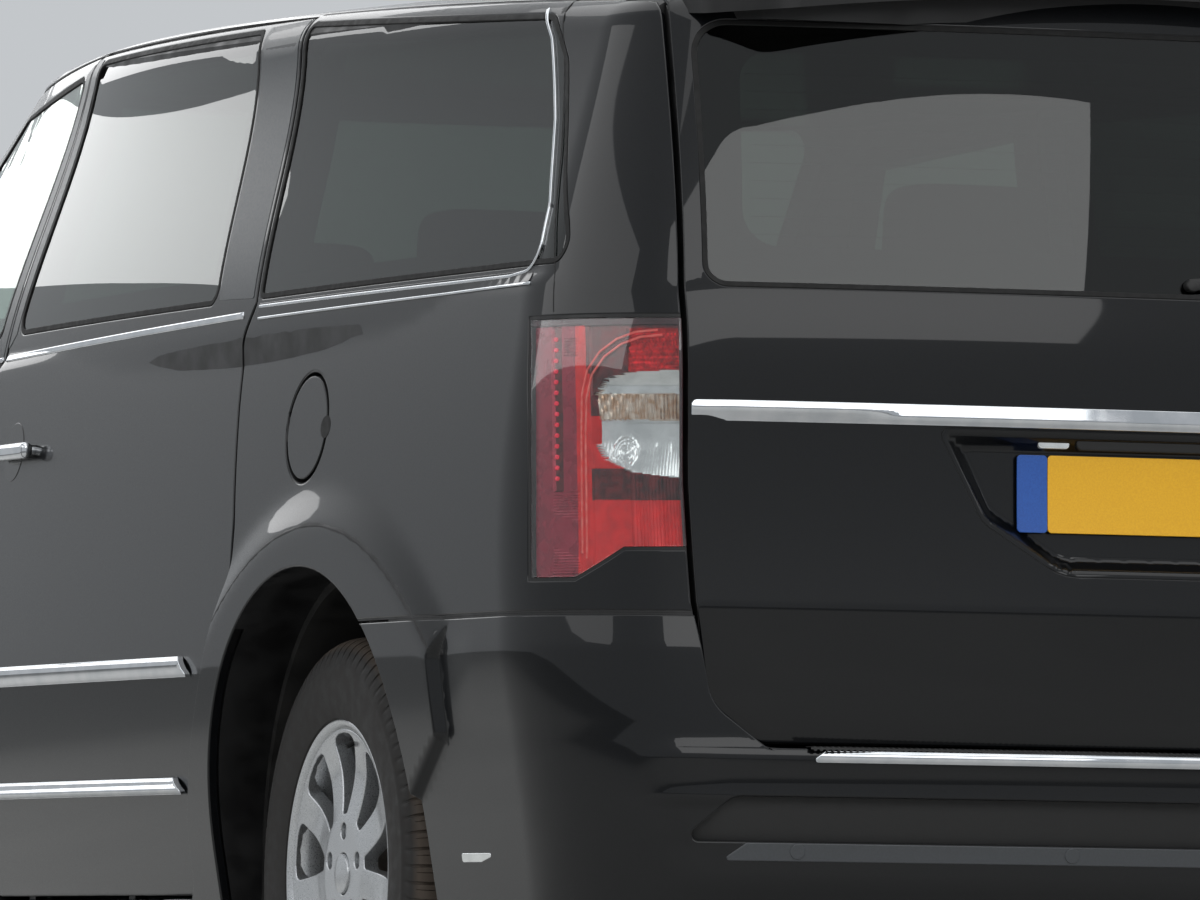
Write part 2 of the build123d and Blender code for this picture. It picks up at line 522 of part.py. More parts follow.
flap = flap - block(FLAP_HINGE_X - 9, FLAP_HINGE_X, 800, 1000, FLAP_Z + 18, FLAP_Z + 30)
flap = flap + (flap_eye - upright(FLAP_HINGE_X, FLAP_HINGE_Y, FLAP_Z - 40, FLAP_Z + 40, 1.5 + SEAT))

# Sliding door studs on the sill
for x, z0, z1 in SLIDER_STUDS:
    sliding_door = sliding_door + block(x - 15, x + 15, 920, 940, z0 + SEAT, z1)

# Floor, firewall and the rear wheel housings
FLOOR_Z = 296.0
FLOOR_TOP = 330.0
HOUSE_INNER_Y = 690.0
floor = lower_hull(WALL + SEAT) & block(-2520, 1400, -1200, 1200, FLOOR_Z, FLOOR_TOP)


def wheel_house(radius, y0, y1, z0):
    shape = Pos(REAR_AXLE_X, (y0 + y1) / 2, ARCH_Z) * Rot(90, 0, 0) * Cylinder(radius, y1 - y0)
    shape = shape - block(-2700, 0, 0, 1300, -500, ARCH_Z)
    return shape + block(REAR_AXLE_X - radius, REAR_AXLE_X + radius, y0, y1, z0, ARCH_Z)


house = wheel_house(ARCH_RADIUS - SEAT, HOUSE_INNER_Y, 895, FLOOR_Z)
house = house - wheel_house(ARCH_RADIUS - 14, HOUSE_INNER_Y + 12, 950, 0)
house = house - across(REAR_AXLE_X, 600, 800, AXLE_Z, 40)
house_space = wheel_house(ARCH_RADIUS - SEAT, HOUSE_INNER_Y, 1100, 0)
floor = floor - [house_space, mirror(house_space, Plane.XZ)]
firewall = block(1366, 1400, -500, 500, FLOOR_Z, 1060) + block(1366, 1400, -825, 825, 750, 1060)
toe_board = block(1150, 1184, 500, 850, FLOOR_Z, 784) + block(1150, 1400, 500, 534, FLOOR_Z, 784)
toe_board = toe_board + block(1150, 1400, 500, 850, 750, 784)
toe_board = toe_board & lower_hull(WALL + SEAT)
wheel_room = block(1184, 1500, 534, 1200, 200, 750)
floor = floor - [wheel_room, mirror(wheel_room, Plane.XZ)]
floor = floor + [firewall, house, mirror(house, Plane.XZ), toe_board, mirror(toe_board, Plane.XZ)]
axle_box = block(REAR_AXLE_X - 74, REAR_AXLE_X + 74, 606, HOUSE_INNER_Y, FLOOR_Z, 412)
axle_room = block(REAR_AXLE_X - 60, REAR_AXLE_X + 60, 620, HOUSE_INNER_Y, 200, 398)
floor = floor + [axle_box, mirror(axle_box, Plane.XZ)]
floor = floor - [axle_room, mirror(axle_room, Plane.XZ)]

# Wheel: tyre, and rim with hub, brake disc and nine broad spokes; the outer face looks along +Y
TYRE_SECTION = [(-90.0, 216.3), (-110.0, 280.0), (-96.0, 338.0), (-70.0, TYRE_RADIUS), (70.0, TYRE_RADIUS),
                (96.0, 338.0), (110.0, 280.0), (90.0, 216.3)]
RIM_SECTION = [(-100.0, 222.0), (-100.0, 229.0), (-95.0, 229.0), (-95.0, 216.0), (95.0, 216.0), (95.0, 229.0),
               (100.0, 229.0), (100.0, 222.0), (90.0, 207.0), (-90.0, 207.0)]
FACE_OUTER = 95.0
FACE_INNER = 70.0
DISC_RADIUS = 150.0


def ring(section):
    face = make_face(Polyline([(0, y, r) for y, r in section], close=True))
    return revolve(face, Axis((0, 0, 0), (0, 1, 0)), 360)


def wheel_cylinder(y0, y1, radius):
    return Pos(0, (y0 + y1) / 2, 0) * Rot(90, 0, 0) * Cylinder(radius, y1 - y0)


tyre = ring(TYRE_SECTION)
rim = ring(RIM_SECTION) + wheel_cylinder(FACE_INNER, FACE_OUTER, 210)
window = [(-12.0, 98.0, 8.0), (12.0, 98.0, 8.0), (37.0, 194.0, 12.0), (-37.0, 194.0, 12.0)]
window_cut = side_prism(window, 40, 110)
for i in range(SPOKE_COUNT):
    rim = rim - Rot(0, 360.0 * (i + 0.5) / SPOKE_COUNT, 0) * window_cut
rim = rim + wheel_cylinder(12, FACE_OUTER, 78) + wheel_cylinder(-12, 12, DISC_RADIUS)
rim = rim - wheel_cylinder(-20, FACE_OUTER - 12, HUB_BORE)
for i in range(5):
    angle = math.radians(72 * i + 90)
    stud = Pos(STUD_CIRCLE / 2 * math.cos(angle), 0, STUD_CIRCLE / 2 * math.sin(angle))
    rim = rim - stud * wheel_cylinder(FACE_OUTER - 8, FACE_OUTER + 5, 12)

# Steering knuckle at the wheel centre; the steering axis runs from the ball joint up to the strut's top
BALL = (748.0, 235.0)
STRUT_TOP = (600.0, 905.0)
lean = math.degrees(math.atan2(BALL[0] - STRUT_TOP[0], STRUT_TOP[1] - BALL[1]))
WHEEL_Y = TRACK / 2


def leaning(z0, z1, radius):
    """A round bar on the left steering axis between two distances from the ball joint."""
    foot = Pos(FRONT_AXLE_X, BALL[0], BALL[1]) * Rot(lean, 0, 0)
    return foot * Pos(0, 0, (z0 + z1) / 2) * Cylinder(radius, z1 - z0)


strut_length = math.hypot(BALL[0] - STRUT_TOP[0], STRUT_TOP[1] - BALL[1])
knuckle = Pos(FRONT_AXLE_X, WHEEL_Y, AXLE_Z) * wheel_cylinder(-110, FACE_OUTER - 13, HUB_BORE - SEAT)
knuckle = knuckle + Pos(FRONT_AXLE_X, WHEEL_Y, AXLE_Z) * wheel_cylinder(-62, -30, 62)
knuckle = knuckle + block(FRONT_AXLE_X - 34, FRONT_AXLE_X + 34, 664, 700, 262, 640)
knuckle = knuckle + block(FRONT_AXLE_X - 34, FRONT_AXLE_X + 34, 690, 772, 262, 420)
knuckle = knuckle + leaning(360, strut_length - 30, 24) + leaning(strut_length - 40, strut_length + 14, 9)
knuckle = knuckle - leaning(-20, 62, 9 + SEAT)
caliper = block(FRONT_AXLE_X - 172, FRONT_AXLE_X - 96, WHEEL_Y - 44, WHEEL_Y + 44, AXLE_Z - 62, AXLE_Z + 62)
caliper = caliper + block(FRONT_AXLE_X - 172, FRONT_AXLE_X - 20, WHEEL_Y - 62, WHEEL_Y - 40,
                          AXLE_Z - 45, AXLE_Z + 45)
caliper = caliper - Pos(FRONT_AXLE_X, WHEEL_Y, AXLE_Z) * wheel_cylinder(-18, 18, DISC_RADIUS + 7)
caliper = caliper - Pos(FRONT_AXLE_X, WHEEL_Y, AXLE_Z) * wheel_cylinder(-30, 60, 84)
knuckle = knuckle + caliper

# Front subframe with lower arms and strut towers
suspension = block(1380, 1440, -430, 430, 236, FLOOR_Z - SEAT) + block(1880, 1940, -430, 430, 236, FLOOR_Z - SEAT)
suspension = suspension + block(1380, 1940, -430, -370, 236, FLOOR_Z - SEAT)
suspension = suspension + block(1380, 1940, 370, 430, 236, FLOOR_Z - SEAT)
for turn in (1, -1):
    flip = (lambda v: v) if turn > 0 else (lambda v: mirror(v, Plane.XZ))
    arm = block(FRONT_AXLE_X - 30, FRONT_AXLE_X + 30, 400, 775, 205, 240) + leaning(-20, 50, 9)
    tower = block(FRONT_AXLE_X - 60, FRONT_AXLE_X + 60, 400, 470, 260, 935)
    tower = tower + block(FRONT_AXLE_X - 60, FRONT_AXLE_X + 60, 400, 660, 905, 935)
    tower = tower - leaning(strut_length - 60, strut_length + 60, 9 + SEAT)
    suspension = suspension + flip(arm) + flip(tower)

# Rear beam axle below the floor, with uprights, hub spindles and arms up to the floor
rear_axle = across(REAR_AXLE_X, -680, 680, 200, 26)
for turn in (1, -1):
    flip = (lambda v: v) if turn > 0 else (lambda v: mirror(v, Plane.XZ))
    spindle = Pos(REAR_AXLE_X, WHEEL_Y, AXLE_Z) * wheel_cylinder(-175, FACE_OUTER - 13, HUB_BORE - SEAT)
    spindle = spindle + Pos(REAR_AXLE_X, WHEEL_Y, AXLE_Z) * wheel_cylinder(-62, -30, 62)
    upright_arm = block(REAR_AXLE_X - 35, REAR_AXLE_X + 35, 640, 684, 174, 385)
    trailing = block(REAR_AXLE_X + 440, REAR_AXLE_X + 520, 560, 600, 180, FLOOR_Z - SEAT)
    trailing = trailing + block(REAR_AXLE_X - 20, REAR_AXLE_X + 520, 560, 600, 180, 220)
    rear_axle = rear_axle + [flip(spindle), flip(upright_arm), flip(trailing)]

# Engine as one plain block, fuel tank, exhaust
engine = block(1480, 1920, -330, 330, FLOOR_Z, 880)
fuel_tank = block(-900, -120, 60, 620, 190, 296 - SEAT)
exhaust = along(-2415, 1200, -260, 260, 26) + block(-2310, -1790, -390, -130, 196, 286)
exhaust = exhaust + block(-2060, -2040, -270, -250, 260, FLOOR_Z - SEAT)
exhaust = exhaust + block(600, 620, -270, -250, 240, FLOOR_Z - SEAT)

# Dashboard with the steering column, and the steering wheel
WHEEL_CENTRE = (905.0, -400.0, 960.0)
COLUMN_LEAN = 30.0
dash_face = rounded([(1366 - SEAT, 560), (1366 - SEAT, 1060), (1240, 1075), (1080, 1040, 40), (1030, 940, 30),
                     (1120, 620, 30)], lambda a, b: (a, -820, b))
dashboard = extrude(dash_face, 1640, (0, 1, 0))
dashboard = dashboard - (block(900, 1500, 600, 1200, 300, 1300) - lower_hull(WALL + 12))
dashboard = dashboard - (block(900, 1500, -1200, -600, 300, 1300) - lower_hull(WALL + 12))
dash_room = block(1150 - SEAT, 1500, 500 - SEAT, 1200, 300, 784 + SEAT)
dashboard = dashboard - dash_room - flipped(dash_room) + block(1040, 1366 - SEAT, -150, 150, 330 + SEAT, 700)


def on_column(a0, a1, radius):
    """A round bar on the steering column's axis; distances run forward from the wheel's centre."""
    return Pos(*WHEEL_CENTRE) * Rot(0, 90 + COLUMN_LEAN, 0) * Pos(0, 0, (a0 + a1) / 2) * Cylinder(radius, a1 - a0)


dashboard = dashboard + on_column(70, 260, 38) - on_column(50, 150, 16 + SEAT)
steering_wheel = on_column(0, 140, 16) + on_column(-30, 18, 62)
wheel_frame = Pos(*WHEEL_CENTRE) * Rot(0, 90 + COLUMN_LEAN, 0)
steering_wheel = steering_wheel + wheel_frame * Torus(180, 15)
for angle in (0, 90, 270):
    steering_wheel = steering_wheel + wheel_frame * Rot(0, 0, angle) * Pos(118, 0, 0) * Box(130, 34, 14)


def seat(x, y, width):
    """One seat: base, cushion, back and head restraint facing forward; x is the cushion's front edge."""
    base = block(x - 430, x - 60, y - width * 0.4, y + width * 0.4, 330 + SEAT, 500)
    cushion = block(x - 500, x, y - width / 2, y + width / 2, 500, 640)
    back_face = rounded([(x - 380, 600, 20), (x - 500, 1200, 40), (x - 610, 1200, 40), (x - 500, 600, 20)],
                        lambda a, b: (a, y - width / 2, b))
    back = extrude(back_face, width, (0, 1, 0))
    head = block(x - 605, x - 515, y - 130, y + 130, 1215, 1400) + block(x - 580, x - 550, y - 60, y + 60, 1180, 1230)
    return base + cushion + back + head


front_seats = Compound(children=[*solids(seat(760, 400, 520)), *solids(seat(760, -400, 520))])
rear_seats = Compound(children=[*solids(seat(-180, 400, 500)), *solids(seat(-180, -400, 500)),
                                *solids(seat(-1120, 0, 1180))])

# Door mirrors
mirror_face = rounded([(962, 1176, 20), (1060, 1166, 20), (1078, 1286, 30), (986, 1312, 30)],
                      lambda a, b: (a, 988, b))
door_mirror = extrude(mirror_face, 150, (0, 1, 0)) + block(1002, 1056, 860, 1000, 1172, 1198)
door_mirror = door_mirror - upper_hull(-SEAT)

# Number plate, chrome bar and wiper on the tailgate
plate = (lower_hull(RECESS_DEPTH - 9) - recess_floor) & block(-2700, -2400, -260, 260, 846, 957)
trim_layer = lower_hull(-14) - lower_hull(0)
bar = trim_layer & block(-2700, -2380, -742, 742, 993, 1024)
WIPER_EDGE = [(0, 1196), (-30, 1196), (-430, 1235), (-430, 1250), (0, 1216)]
wiper = (upper_hull(-16) - upper_hull(0)) & end_prism(WIPER_EDGE, -2700, -2300)


# Bright mouldings along the doors, step strip on the bumper, and the door handles
MOULDING_HEIGHTS = [(653.0, 685.0), (476.0, 502.0)]
door_mouldings = []
front_mouldings = []
for z0, z1 in MOULDING_HEIGHTS:
    rear_x = -1020.0 if z0 > 600 else -962.0
    rear_edge = [(rear_x, z0), (36, z0), (36, z1), (rear_x + 40, z1)]
    front_edge = [(56, z0), (1080, z0), (1116, z1), (56, z1)]
    door_mouldings += solids(trim_layer & side_prism(rear_edge, 800, 1200))
    front_mouldings += solids(trim_layer & side_prism(front_edge, 800, 1200))
step_strip = trim_layer & end_prism([(-584, 510), (584, 510), (560, 528), (-560, 528)], -2700, -2400)
HANDLE_Z = 1026.0


def handle(x0, x1, y):
    """A pull bar on two feet, standing off the door's side."""
    bar_part = block(x0, x1, y + 16, y + 34, HANDLE_Z - 12, HANDLE_Z + 12)
    bar_part = fillet(bar_part.edges().filter_by(Axis.X), 8)
    feet = block(x0 + 6, x0 + 30, y - 12, y + 26, HANDLE_Z - 9, HANDLE_Z + 9)
    return bar_part + feet + block(x1 - 30, x1 - 6, y - 12, y + 26, HANDLE_Z - 9, HANDLE_Z + 9)


sliding_door = sliding_door + handle(-232, -62, 979)
front_door = front_door + handle(110, 280, 980)


def placed(shape, x, y):
    return Pos(x, y, AXLE_Z) * shape


parts = {
    "floor_pan": floor,
    "body_side_left": side,
    "body_side_right": None,
    "roof_panel": roof,
    "front_fenders": fenders,
    "front_bumper": front_bumper,
    "grille": grille,
    "rear_bumper": rear_bumper,
    "headlamps": both(headlamp),
    "tail_lamps": both(tail_lamp),
    "windscreen": windscreen,
    "side_glass": both(Compound(children=[*solids(sliding_glass), *solids(quarter_glass)])),
    "side_mouldings": both(Compound(children=door_mouldings)),
    "step_strip": step_strip,
    "sliding_door_left": sliding_door,
    "sliding_door_right": flipped(sliding_door),
    "dashboard": dashboard,
    "front_seats": front_seats,
    "rear_seats": rear_seats,
    "engine": engine,
    "front_suspension": suspension,
    "rear_axle": rear_axle,
    "exhaust": exhaust,
    "fuel_tank": fuel_tank,
    "hood": hood,
    "tailgate": tailgate,
    "tailgate_glass": tailgate_glass,
    "tailgate_bar": bar,
    "number_plate": plate,
    "rear_wiper": wiper,
    "front_door_left": front_door,
    "front_door_right": flipped(front_door),
    "front_glass_left": front_glass,
    "front_glass_right": flipped(front_glass),
    "front_mouldings_left": Compound(children=front_mouldings),
    "front_mouldings_right": flipped(Compound(children=front_mouldings)),
    "door_mirror_left": door_mirror,
    "door_mirror_right": flipped(door_mirror),
    "fuel_flap": flap,
    "steering_wheel": steering_wheel,
    "knuckle_left": knuckle,
    "knuckle_right": flipped(knuckle),
    "tyre_front_left": placed(tyre, FRONT_AXLE_X, WHEEL_Y),
    "tyre_front_right": flipped(placed(tyre, FRONT_AXLE_X, WHEEL_Y)),
    "tyre_rear_left": placed(tyre, REAR_AXLE_X, WHEEL_Y),
    "tyre_rear_right": flipped(placed(tyre, REAR_AXLE_X, WHEEL_Y)),
    "rim_front_left": placed(rim, FRONT_AXLE_X, WHEEL_Y),
    "rim_front_right": flipped(placed(rim, FRONT_AXLE_X, WHEEL_Y)),
    "rim_rear_left": placed(rim, REAR_AXLE_X, WHEEL_Y),
    "rim_rear_right": flipped(placed(rim, REAR_AXLE_X, WHEEL_Y)),
}
flap_plug = Pos(FLAP_X, 930, FLAP_Z) * Rot(90, 0, 0) * Cylinder(FLAP_RADIUS + 6, 300)
flap_fill = (lower_hull(0) - lower_hull(60)) & flap_plug
parts["body_side_right"] = flipped(side + flap_fill)

os.makedirs("parts", exist_ok=True)
for name, shape in parts.items():
    export_step(shape, "parts/" + name + ".step")
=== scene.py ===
"""Dresses the minivan: painted skins, glass, lamps, wheels, trim, cabin, light and camera.

Lengths are millimetres, put into each mesh in metres. +X forward, +Y to the vehicle's left, +Z up.
"""
import math

import bpy
import numpy as np
from mathutils import Matrix, Vector
from mathutils.geometry import delaunay_2d_cdt


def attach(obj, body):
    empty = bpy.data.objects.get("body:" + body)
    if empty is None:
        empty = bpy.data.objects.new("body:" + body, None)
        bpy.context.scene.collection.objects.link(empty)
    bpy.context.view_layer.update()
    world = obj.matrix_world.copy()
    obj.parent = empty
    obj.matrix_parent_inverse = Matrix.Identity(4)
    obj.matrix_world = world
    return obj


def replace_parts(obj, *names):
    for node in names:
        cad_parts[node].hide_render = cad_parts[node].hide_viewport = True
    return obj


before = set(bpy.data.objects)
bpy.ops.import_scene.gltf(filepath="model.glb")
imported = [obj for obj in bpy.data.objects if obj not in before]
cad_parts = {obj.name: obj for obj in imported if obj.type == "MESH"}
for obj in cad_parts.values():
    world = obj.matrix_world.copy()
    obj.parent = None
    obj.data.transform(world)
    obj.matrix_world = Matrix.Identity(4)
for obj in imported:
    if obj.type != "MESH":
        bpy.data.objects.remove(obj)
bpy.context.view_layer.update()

MM = 0.001

# Driving sizes, as in the solids
REAR_X, FRONT_X, HALF = -2575.0, 2575.0, 999.0
REAR_AXLE_X, FRONT_AXLE_X, AXLE_Z = -1500.0, 1578.0, 353.0
WHEEL_Y = 820.0
ARCH_RADIUS, ARCH_Z = 415.0, 392.0
FLARE_X, FLARE_Y = REAR_AXLE_X - 40.0, 970.0
FLARE_RADII, FLARE_STAND = (632.0, 531.0), 16.0
FLARE_TIP, FLARE_BEND, FLARE_FRONT = (-2022.0, 545.0), (-2012.0, 665.0), (-1912.0, 466.0)
BUMPER_TOP = 722.0
FLARE_LEAN = math.atan2(33.0, 943.0)
SPINE_Y = 640.0
ROOF_EDGE = 60.0
ROOF_TOP, ROOF_CENTRE_X, ROOF_RADIUS, ROOF_CROWN = 1746.0, -300.0, 23000.0, 5000.0
HOOD_LINE = [(1180.0, 1158.0), (1900.0, 1058.0), (2520.0, 850.0)]
HOOD_CROWN = 16000.0
BELT_REAR, BELT_FRONT = (-2600.0, 1195.0), (1134.0, 1150.0)
WIDEST_X = 200.0
SKIN = 1.0
SIDES = (("left", 1.0), ("right", -1.0))

# Plan outlines: height, rear end, front end, half width, rear corner, front corner; RISE is the loft's
# own measure of height at each outline, from averaged chord lengths
LOWER_LEVELS = [
    (190.0, REAR_X + 75, FRONT_X - 75, HALF - 66, 250.0, 420.0),
    (340.0, REAR_X + 13, FRONT_X - 14, HALF - 42, 265.0, 430.0),
    (520.0, REAR_X, FRONT_X, HALF - 15, 275.0, 440.0),
    (720.0, REAR_X + 22, FRONT_X - 20, HALF, 280.0, 440.0),
    (960.0, REAR_X + 38, FRONT_X - 110, HALF - 9, 280.0, 420.0),
    (1230.0, REAR_X + 75, FRONT_X - 330, HALF - 48, 270.0, 380.0),
]
LOWER_RISE = (0.0, 0.14596, 0.31126, 0.49456, 0.71964, 1.0)
UPPER_LEVELS = [
    (1080.0, REAR_X + 50, 1590.0, HALF - 50, 230.0, 190.0),
    (1220.0, REAR_X + 75, 1400.0, HALF - 62, 220.0, 180.0),
    (1440.0, REAR_X + 130, 1110.0, HALF - 128, 200.0, 170.0),
    (1640.0, REAR_X + 190, 850.0, HALF - 192, 170.0, 150.0),
    (1790.0, REAR_X + 236, 655.0, HALF - 240, 150.0, 140.0),
]
UPPER_RISE = (0.0, 0.19767, 0.50876, 0.78947, 1.0)
LOWER_ENDS = (95.0, 70.0, 230.0, 80.0)
UPPER_ENDS = (80.0, 70.0, 230.0, 85.0)

# Side-view outlines (x, z, radius) and end-view outlines (y, z, radius), as in the solids
FRONT_DOOR = [(50, 322, 30), (1126, 322, 60), (1126, 1152, 0), (1085, 1196, 0), (560, 1650, 40),
              (-59, 1668, 20), (50, 1165, 0)]
FRONT_GLASS = [(94, 1222, 25), (992, 1208, 30), (545, 1610, 30), (-8, 1640, 25)]
SLIDING_DOOR = [(-968, 322, 30), (42, 322, 30), (42, 1165, 0), (-67, 1668, 20), (-1192, 1650, 20),
                (-1196, 1214, 0), (-1150, 1160, 20), (-1160, 1060, 0), (-1188, 880, 90), (-1184, 805, 60),
                (-1110, 692, 60), (-1026, 548, 60), (-974, 430, 60)]
SLIDING_GLASS = [(-1024, 1222, 30), (-6, 1222, 30), (-110, 1656, 25), (-1018, 1642, 25)]
QUARTER_GLASS = [(-2322, 1224, 25), (-1212, 1222, 12), (-1206, 1640, 12), (-2052, 1596, 60),
                 (-2130, 1525, 40)]
TAILGATE_EDGE = [(640, 538, 40), (715, 596, 60), (737, 736, 0), (745, 905, 0), (745, 1174, 0), (718, 1597, 0),
                 (706, 1800, 0)]
TAILGATE_GLASS_EDGE = [(716, 1188, 30), (694, 1572, 50)]
WINDSCREEN_EDGE = [(770, 1122, 40), (672, 1652, 60)]
GROOVE_EDGE, GROOVE_DEPTH = [(760, 398, 10), (690, 462, 30)], 16.0
RECESS_EDGE, RECESS_DEPTH = [(201, 783, 90), (318, 858, 50), (385, 991, 12)], 26.0
TUCK_Z, TUCK_SLOPE = 731.0, 44.0 / 206.0
LAMP_EDGE = [(-2319.0, 770.0), (-2306.0, 900.0), (-2292.0, 1000.0), (-2270.0, 1100.0), (-2257.0, 1140.0)]
LAMP_FOOT = [(753.0, 814.0), (828.0, 813.0), (883.0, 770.0)]
SPOILER_EDGE = [(-2292, 700, 0), (-2372, 688, 30), (-2442, 590, 60)]
FLAP_X, FLAP_Z, FLAP_RADIUS = -1462.0, 1016.0, 80.0


# Plan outlines and the two shells

def circle_through(p, q, r):
    """Centre and radius of the circle through three points: where the perpendicular bisectors cross."""
    m = 2 * np.array([[q[0] - p[0], q[1] - p[1]], [r[0] - p[0], r[1] - p[1]]], float)
    k = np.array([q[0] ** 2 + q[1] ** 2 - p[0] ** 2 - p[1] ** 2,
                  r[0] ** 2 + r[1] ** 2 - p[0] ** 2 - p[1] ** 2])
    centre = np.linalg.solve(m, k)
    return centre, math.hypot(p[0] - centre[0], p[1] - centre[1])


def fillet_centre(centre_a, radius_a, centre_b, radius_b, r, near):
    """Centre of a circle of radius r touching two circles from inside: it is radius - r from each centre."""
    ra, rb = radius_a - r, radius_b - r
    gap = centre_b - centre_a
    d = math.hypot(*gap)
    e = gap / d
    along = (ra * ra - rb * rb + d * d) / (2 * d)
    aside = math.sqrt(ra * ra - along * along)
    n = np.array([-e[1], e[0]])
    found = [centre_a + along * e + aside * n, centre_a + along * e - aside * n]
    return min(found, key=lambda c: math.hypot(*(c - near)))


def outline_half(level, ends, n):
    """The left half of a plan outline from the rear centre to the front centre, n points an edge: a bowed
    rear, a round corner, a bowed side, a round corner and a bowed front, each an arc tangent to the next."""
    _, rear, front, half, r1, r2 = level
    rc = np.array([rear + ends[0], half - ends[1]])
    fc = np.array([front - ends[2], half - ends[3]])
    ca, ra = circle_through((rc[0], -rc[1]), (rear, 0), rc)
    cs, rs = circle_through(rc, (WIDEST_X, half), fc)
    cf, rf = circle_through(fc, (front, 0), (fc[0], -fc[1]))
    k1 = fillet_centre(ca, ra, cs, rs, r1, rc)
    k2 = fillet_centre(cs, rs, cf, rf, r2, fc)

    def touch(c, rad, k):
        """Where the corner round k touches the arc round c."""
        return c + (k - c) / math.hypot(*(k - c)) * rad

    def sweep(c, rad, a, b):
        """n points of the circle round c from a the short way to b."""
        t0 = math.atan2(a[1] - c[1], a[0] - c[0])
        t1 = math.atan2(b[1] - c[1], b[0] - c[0])
        t = t0 + ((t1 - t0 + math.pi) % (2 * math.pi) - math.pi) * np.linspace(0, 1, n)
        return c + rad * np.stack([np.cos(t), np.sin(t)], 1)

    p = [np.array([rear, 0.0]), touch(ca, ra, k1), touch(cs, rs, k1), touch(cs, rs, k2), touch(cf, rf, k2),
         np.array([front, 0.0])]
    arcs = ((ca, ra), (k1, r1), (cs, rs), (k2, r2), (cf, rf))
    edges = [sweep(*circle, a, b) for circle, a, b in zip(arcs, p, p[1:])]
    return np.concatenate(edges[:1] + [edge[1:] for edge in edges[1:]])


class Shell:
    """A lofted body surface as a distance from a spine. The spine runs across the tail, forward along the
    side and across the nose; s is the way along it, rays leave it square to the body and fan out at its
    two corners, and reach(s, z) is how far out the surface lies."""

    REAR_FAN, FRONT_FAN = 285.0, 500.0
    S_STEP, Z_STEP = 4.0, 5.0

    def __init__(self, levels, rise, ends, rear_corner, front_corner, z0, z1):
        self.rear, self.front = rear_corner, front_corner
        self.s1 = rear_corner[1]
        self.s2 = self.s1 + self.REAR_FAN * math.pi / 2
        self.s3 = self.s2 + front_corner[0] - rear_corner[0]
        self.s4 = self.s3 + self.FRONT_FAN * math.pi / 2
        self.length = self.s4 + front_corner[1]
        self.s = np.arange(0.0, self.length, self.S_STEP)
        self.z = np.arange(z0, z1 + 1, self.Z_STEP)
        rows = np.stack([outline_half(level, ends, 240) for level in levels])
        heights = np.array([level[0] for level in levels])
        v = np.linspace(-0.15, 1.15, 2601)
        z_of_v = self.lagrange(v, rise) @ heights
        basis = self.lagrange(np.interp(self.z, z_of_v, v), rise)
        curves = np.einsum("zl,lpc->zpc", basis, rows)
        self.table = np.stack([np.interp(self.s, *self.spine_coordinates(c)) for c in curves])

    @staticmethod
    def lagrange(v, nodes):
        """The polynomials that are 1 at one node and 0 at the others."""
        nodes = np.array(nodes)
        return np.stack([np.prod([(v - b) / (a - b) for b in np.delete(nodes, j)], axis=0)
                         for j, a in enumerate(nodes)], 1)

    def spine_coordinates(self, points):
        """(s, reach) of plan points of the left half."""
        x, y = points[:, 0], points[:, 1]
        (rx, ry), (fx, fy) = self.rear, self.front
        tail, nose = x < rx, x > fx
        s = self.s2 + x - rx
        reach = y - ry
        corner = tail & (y > ry)
        s = np.where(corner, self.s1 + self.REAR_FAN * np.arctan2(y - ry, rx - x), s)
        reach = np.where(corner, np.hypot(y - ry, rx - x), reach)
        s = np.where(tail & (y <= ry), y, s)
        reach = np.where(tail & (y <= ry), rx - x, reach)
        corner = nose & (y > fy)
        s = np.where(corner, self.s3 + self.FRONT_FAN * np.arctan2(x - fx, y - fy), s)
        reach = np.where(corner, np.hypot(y - fy, x - fx), reach)
        s = np.where(nose & (y <= fy), self.s4 + fy - y, s)
        reach = np.where(nose & (y <= fy), x - fx, reach)
        return s, reach

    def reach(self, s, z):
        """Distance out from the spine, read between the table's rows and columns."""
        i = np.clip(np.abs(s) / self.S_STEP, 0, len(self.s) - 1.001)
        j = np.clip((z - self.z[0]) / self.Z_STEP, 0, len(self.z) - 1.001)
        i0, j0 = i.astype(int), j.astype(int)
        fi, fj = i - i0, j - j0
        t = self.table
        low = t[j0, i0] * (1 - fi) + t[j0, i0 + 1] * fi
        high = t[j0 + 1, i0] * (1 - fi) + t[j0 + 1, i0 + 1] * fi
        return low * (1 - fj) + high * fj

    def place(self, s, z, reach):
        """Points in space at a distance out from the spine."""
        (rx, ry), (fx, fy) = self.rear, self.front
        side = np.where(s < 0, -1.0, 1.0)
        a = np.abs(s)
        t = np.clip((a - self.s1) / self.REAR_FAN, 0, math.pi / 2)
        u = np.clip((a - self.s3) / self.FRONT_FAN, 0, math.pi / 2)
        ahead = a > self.s3
        x = np.where(ahead, fx + reach * np.sin(u), np.clip(rx + a - self.s2, rx, fx) - reach * np.cos(t))
        y = np.where(ahead, np.minimum(fy, fy - (a - self.s4)) + reach * np.cos(u),
                     np.minimum(a, ry) + reach * np.sin(t))
        return np.stack([x, y * side, np.broadcast_to(z, x.shape)], 1)


LOWER = Shell(LOWER_LEVELS, LOWER_RISE, LOWER_ENDS, (-2290.0, SPINE_Y), (1950.0, SPINE_Y), 180.0, 1260.0)
UPPER = Shell(UPPER_LEVELS, UPPER_RISE, UPPER_ENDS, (-2290.0, SPINE_Y), (400.0, SPINE_Y), 1080.0, 1790.0)
LOWER_TOP = 1255.0
SIDE_S = LOWER.s2 - LOWER.rear[0]


def smooth(t):
    """0 below 0, 1 above 1, and an even S between."""
    t = np.clip(t, 0, 1)
    return t * t * (3 - 2 * t)


def belt_z(x):
    """Height of the belt, a straight line from the tail to the door hinges."""
    (x0, z0), (x1, z1) = BELT_REAR, BELT_FRONT
    return z0 + (x - x0) / (x1 - x0) * (z1 - z0)


